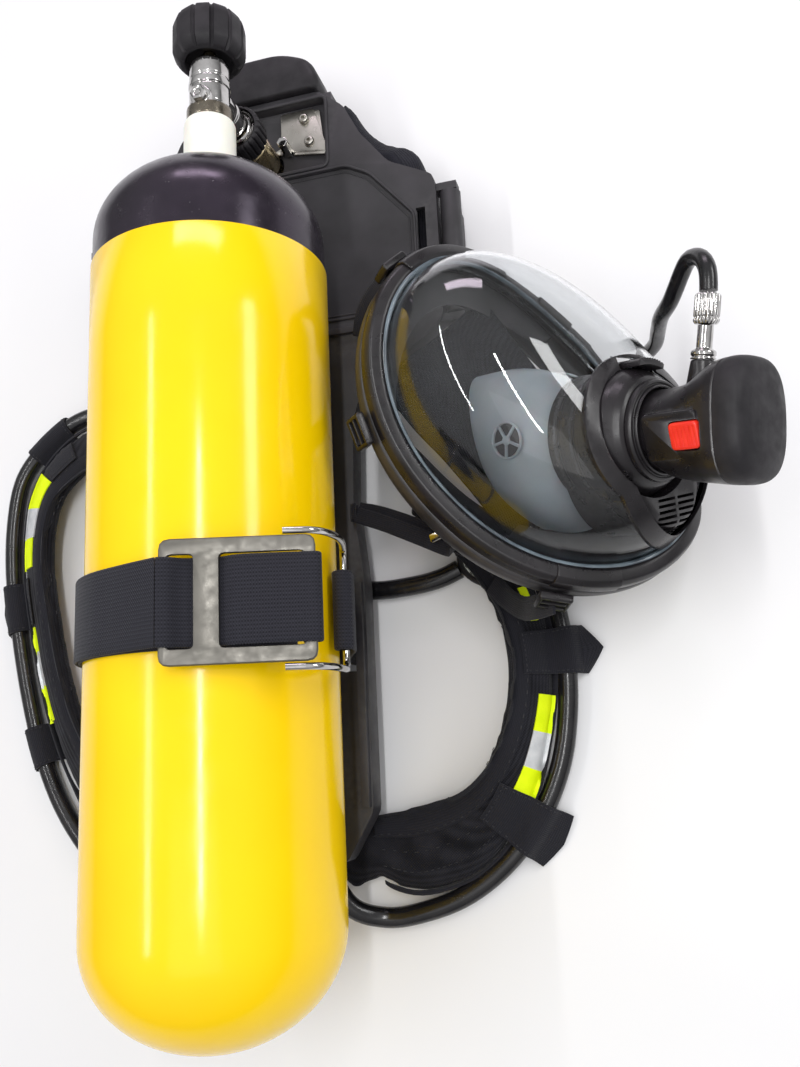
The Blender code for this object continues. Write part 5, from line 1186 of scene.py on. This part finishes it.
def make_housing():
    edge = 1000 * PORT_R
    profile = mm((21.2, -0.4), (21.8, 0), (23.6, 0), (30, 0), (32.2, -1.4), (34.5, -4.5), (37.2, -9.2), (38.2, -12.5),
                 (edge, -15), (edge, -30), (37.9, -30.8), (37.9, -32.6), (edge, -33.4), (edge, -41.5), (37.6, -42.4),
                 (37.6, -44.6), (edge, -45.5), (edge, -50), (28.5, -50), (28.5, -20), (21.2, -20))
    housing = turned("housing_drum", profile, 128, True, PORT, 0.0006)
    chin = loft("chin", [chin_oval(1, z) for z in (-0.050, -0.0222)], matrix=PORT)
    boolean(housing, [boolean(chin, [rod(0.0330, -0.06, 0.01)])], "UNION")
    way = rod(0.0080, -0.06, 0.01, place((0, 0.0535, 0), parent=PORT), 40)
    vents = [block("vent", (0.0340, -0.0008, -0.0125), (0.0420, 0.0008, -0.0030), place((0, 0, 0), (0, 0, a), PORT))
             for a in (11, 17.5, 24)]
    wear(bevel(boolean(housing, [way] + vents), 0.0005, 2, 32), "black_plastic", nodes="port_housing")

    shape = ((1, -0.0217), (1, -0.0190), (1, -0.0165), (0.992, -0.0140), (0.972, -0.0105), (0.940, -0.0074),
             (0.895, -0.0049), (0.845, -0.0033), (0.790, -0.0025))
    cover = loft("grille_cover", [chin_oval(k, z) for k, z in shape], matrix=PORT)
    inside = ((1, -0.0300), (1, -0.0165), (0.95, -0.0110), (0.86, -0.0070))
    space = loft("space", [chin_oval(k, z, -0.0030) for k, z in inside], matrix=PORT)
    boolean(space, [rod(PORT_R + 0.0030, -0.06, 0.02), horn(0.0300)])
    boolean(cover, [space, rod(PORT_R + 0.0004, -0.06, 0.02), horn(0.0240)])
    grille = place((0.0085, 0.0535, 0), (0, 0, -26), PORT)
    slots = [block("slot", (inner, low, -0.0150), (outer, low + 0.0018, 0.01), grille)
             for low in (0.0036 * (i - 3) - 0.0009 for i in range(7))
             for inner, outer in ((-0.0178, -0.0012), (0.0012, 0.0178))]
    wear(bevel(boolean(cover, slots), 0.0004, 2, 34), "black_plastic", nodes="exhalation_cover")

    ring = mm((23.6, 0.4), (23.6, 3), (24.3, 3.6), (24.6, 5.6), (25.6, 6), (26.2, 5.2), (26.4, 3.8), (27.2, 3.4),
              (27.8, 4.4), (29, 4.2), (30, 2.8), (30, 0.4))
    wear(turned("locking_ring", ring, 128, True, PORT, 0.0003), "black_plastic", nodes="port_ring")
    refined("exhalation_disc", 0.0003, "black_rubber", "exhalation", flat=3)


# ---------------------------------------------------------------- demand valve
def oval(half_x, half_y, power, z, low=None):
    """A squared oval in mm; low is its half width on the side away from the inlet."""
    points = []
    for a in (2 * pi * i / 72 for i in range(72)):
        reach = half_y if cos(a) > 0 or low is None else low
        points.append((squared(sin(a), 2 / power) * half_x, squared(cos(a), 2 / power) * reach, z))
    return mm(*points)


def eased(shapes):
    """The rows of a lofted shape with smooth ones between them."""
    rows = [shapes[0], *shapes, shapes[-1]]
    result = []
    for group in zip(rows, rows[1:], rows[2:], rows[3:]):
        result += [[curve(*numbers, k / 5) for numbers in zip(*group)] for k in range(5)]
    return result + [shapes[-1]]


def valve_loft(name, rows, sharp=38):
    return loft(name, [oval(*row) for row in rows], matrix=VALVE, sharp=sharp)


def side_plate(name, half, low_y, high_y, radius, arc, low, high):
    """A rounded plate square to the valve's side, from low to high along it."""
    corners = ((-half, low_y), (half, low_y), (half, high_y), (-half, high_y))
    across = SIDE @ Matrix(((0, 0, 1, 0), (1, 0, 0, 0), (0, 1, 0, 0), (0, 0, 0, 1)))
    return slab(name, arc_corners(corners, radius, arc), low, high, across)


def make_demand_valve():
    neck = [(20.5, 20.5, 2, -18), (20.5, 20.5, 2, -0.4), (21.2, 21.2, 2, 0.4), (23, 23, 2, 1), (23.2, 23.2, 2, 2)]
    flare = eased([(23.2, 23.2, 2, 7.5, 23.4), (23.2, 23.2, 2.1, 12, 27.2), (23.2, 23.6, 2.3, 24, 30.5),
                   (23.6, 25.6, 2.5, 31.5, 31.8), (24.6, 29.8, 2.8, 39.5, 32.8), (25.8, 33.5, 3, 47, 33.8),
                   (26.2, 34.5, 3, 52.9, 34.5)])
    body = valve_loft("valve_shell", neck + flare + [(25.8, 34.1, 3, 53.5)], 50)
    hollow = rod(0.0165, -0.03, 0.0430, VALVE, 72)
    chamber = valve_loft("chamber", [(22.5, 30, 3, 42.5), (23.2, 31.5, 3, 90)])
    boss = turned("boss", mm((0, 36.5), (6, 36.5), (6.7, 35.8), (7.4, 30), (8.6, 18), (0, 18)), 64, matrix=INLET)
    panel = bevel(side_plate("panel", 0.0135, 0.0085, 0.0440, 0.004, 5, -0.0250, -0.0180), 0.0012, 3)
    boolean(body, [boss, panel], "UNION")
    seat = side_plate("seat", 0.0083, BUTTON_Z - 0.0098, BUTTON_Z + 0.0098, 0.0032, 5, -0.03, -0.0120)
    boolean(body, [hollow, chamber, seat, rod(0.0036, 0.010, 0.04, INLET, 40)])
    wear(bevel(body, 0.0004, 2, 32), "black_plastic", "demand_valve", "demand_valve_body")

    skin = [(25.7, 34, 3, 53.8)] + eased([(26.2, 34.5, 3, 54), (26.4, 34.7, 3, 59), (25.6, 33.7, 2.8, 64.5),
                                          (22.6, 30.6, 2.6, 68.3), (15, 22.5, 2.4, 70.2)]) + [(7, 12, 2.2, 70.5)]
    hole = [(6, 11, 2.2, 67.2), (19, 26.3, 2.6, 66), (23.2, 31.5, 3, 62), (23.2, 31.5, 3, 53.8)]
    cap = boolean(valve_loft("soft_cap", skin, 60), [valve_loft("hole", hole)])
    wear(cap, "black_rubber", "demand_valve", "demand_valve_cap")
    refined("demand_diaphragm", 0.0003, "black_rubber", "diaphragm", flat=3)

    button = side_plate("purge_button", 0.0076, BUTTON_Z - 0.0090, BUTTON_Z + 0.0090, 0.0030, 6, -0.0270, -0.0162)
    bevel(button, 0.0010, 3)
    lines = [block("line", (-0.0280, -0.0055, BUTTON_Z - 0.0062 + 0.0025 * k),
                   (-0.02672, 0.0055, BUTTON_Z - 0.0056 + 0.0025 * k), SIDE) for k in range(6)]
    wear(bevel(boolean(button, lines), 0.0001, 1, 40), "red_plastic", "button", "demand_button")

    stem = mm((2.2, 55.5), (4.4, 55.5), (4.4, 43), (5.2, 42.4), (6.6, 41.6), (7, 40.8), (7, 39.2), (6.4, 38.6),
              (6.4, 38), (7, 37.6), (7, 36.8), (2.2, 36.8))
    wear(turned("stem_chrome", stem, 72, True, INLET, 0.0003), "chrome", "demand_valve", "inlet_stem")
    nut = mm((2.4, 73), (5.8, 73), (6.6, 72.4), (7.1, 71.6), (7.2, 64), (7.2, 60.6), (6.6, 60), (6.6, 59.4),
             (7.2, 58.8), (7.1, 57.6), (6, 56.2), (2.4, 55.8))
    wear(turned("nut_chrome", nut, 216, True, INLET, shape=grooves(18, 0.00659, 0.0007, 0.28)), "chrome",
         "demand_valve", "hose_nut")

    outline = []
    for k in range(89):
        a = 90 + 17.0 - 34.0 * k / 88
        tooth = 0.0010 if abs(a - 90) < 14 and (k // 4) % 2 else 0.0
        outline.append((a, 0.0430 - tooth - 0.0012 * abs((a - 90) / 17) ** 6))
    outline += [(73 + 34 * k / 20, PORT_R + 0.0005) for k in range(21)]
    outline = [(cos(radians(a)) * reach, sin(radians(a)) * reach) for a, reach in outline]
    latch = slab("latch_ribbed", outline, -0.0220, -0.0020, VALVE)
    wear(bevel(latch, 0.0003, 2, 50), "black_plastic", "latch", "port_latch")


# ---------------------------------------------------------------- gauge and union
def make_gauge():
    at = Vector((0.1520, -0.0597, 0.0010))
    case = mm((18.5, 10.2), (19, 12.6), (20.4, 13.1), (21.8, 12.2), (22.5, 10.4), (22.5, 2.4), (21.6, 0.6), (20, 0),
              (0, 0), (0, 9.8), (18, 9.8))
    wear(turned("gauge_boot", case, 96, matrix=place(at)), "black_rubber", nodes="gauge_case")
    face = turned("gauge_dial", mm((0, 10), (18.4, 10), (18.4, 9.8), (0, 9.8)), 72, matrix=place(at))
    wear(face, "dial_face")
    bm = bmesh.new()
    for k in range(28):
        a = radians(-225 + 270 * k / 27)
        along, side = Vector((cos(a), sin(a), 0)), Vector((-sin(a), cos(a), 0)) * 0.00035
        low, high = along * (0.0155 if k % 3 else 0.0140), along * 0.0172
        ends = [at + p + UP * 0.01015 for p in (low - side, high - side, high + side, low + side)]
        top = [bm.verts.new(p) for p in ends]
        under = [bm.verts.new(p - UP * 0.0003) for p in ends]
        bm.faces.new(top)
        bm.faces.new(under[::-1])
        for i in range(4):
            j = (i + 1) % 4
            bm.faces.new((under[i], under[j], top[j], top[i]))
    wear(as_object("gauge_ticks", bm), "white_needle")
    refined("gauge_needle", 0.0002, "white_needle", "needle")


def make_union():
    profile = mm((1.6, 34.4), (7, 34.4), (7.8, 33), (7.8, 24), (6.4, 23), (6.4, 20), (9.5, 19), (9.5, 5), (8.5, 1.2),
                 (1.6, 1.2))
    sleeve = turned("union_sleeve", profile, 144, True, place(SUPPLY_ROUTE[-1], (-90, 0, 3)),
                    shape=grooves(24, 0.0093, 0.0006, 0.3))
    wear(sleeve, "black_plastic", nodes="hose_union")


# ---------------------------------------------------------------- loose straps of the mask
def loose_strap(name, path, width, thick=0.0018):
    wear(webbing(name, path, width, thick), "binding")


def make_mask_straps():
    """Rubber and webbing straps left on the mask's buckles."""
    for where in ("brow", "temple_right", "temple_left", "jaw_right", "jaw_left"):
        refined(f"buckle_{where}", 0.0006, "black_plastic")
    for name, points, width in (
            ("strap_brow", ((156, 112, 132), (143, 118, 127), (130.1, 120.8, 120), (110.6, 112.1, 113),
                            (99, 99, 106), (93, 84, 98)), 0.0180),
            ("strap_loop_lower", ((160.8, -77.5, 116.5), (160, -75, 101), (154.8, -70.2, 85), (139.3, -61.1, 84),
                                  (117.2, -49, 78), (90.6, -35.9, 70), (73, -30, 66.5)), 0.0125),
            ("strap_loop_upper", ((74.5, -35, 73), (96.7, -45, 79), (120, -57, 86), (143, -69, 90.5),
                                  (150.5, -71.5, 104), (154.5, -72, 118)), 0.0120)):
        line = smooth_route(mm(*points), 0.003)
        loose_strap(name, [(p, Vector((0.15 * sin(9 * i / len(line)), 0.25, 1))) for i, p in enumerate(line)], width)
    fold = []
    for a in (radians(degrees) for degrees in range(180, -1, -20)):
        fold.append((Vector((0.0735 - 0.0042 * sin(a), -0.0325, 0.0698 + 0.0032 * cos(a))),
                     Vector((-sin(a), 0, cos(a)))))
    loose_strap("strap_loop_fold", fold, 0.0122)
    slide = arc_corners(mm((-10.5, -3), (10.5, -2.2), (10.5, 2.2), (-10.5, 3)), 0.0016, 4)
    tab = place((0.1400, -0.0590, 0.0935), (8, -12, 14))
    wear(bevel(slab("strap_slide", slide, -0.0007, 0.0007, tab), 0.0003), "chrome")
    for part, rest in (("temple_right", ((100, 10, 128), (92, 20, 112), (91, 34, 98), (98, 52, 92))),
                       ("jaw_right", ((196, -112, 90), (183, -108, 62), (170, -98, 45), (160, -86, 40)))):
        low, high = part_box(f"buckle_{part}")
        line = smooth_route([(low + high) / 2, *mm(*rest)], 0.003)
        outs = [along.cross(Vector((0.2, 0.95, 0.25))) for along in directions(line)]
        path = [(here, out if out.length > 0.1 else UP) for here, out in zip(line, outs)]
        loose_strap(f"strap_{part}", path, 0.016, 0.0020)


make_cylinder()
make_valve()
make_reducer()
make_plate()
make_strap()
make_keepers(make_pads())
make_visor()
make_rim()
make_seal()
make_nose_cup()
make_net()
make_housing()
make_demand_valve()
make_gauge()
make_union()
make_mask_straps()

declare_hose(SUPPLY_ROUTE)
declare_hose(GAUGE_ROUTE)
declare_hose(DEMAND_ROUTE)

# ---------------------------------------------------------------- CAD nodes that stay
for node, obj in frame["nodes"].items():
    if obj.hide_render:
        continue
    name = next(row["material_slot"] for row in frame["record"]["subparts"] if row["node"] == node)
    for row in obj.material_slots:
        row.material = LOOKS[name]
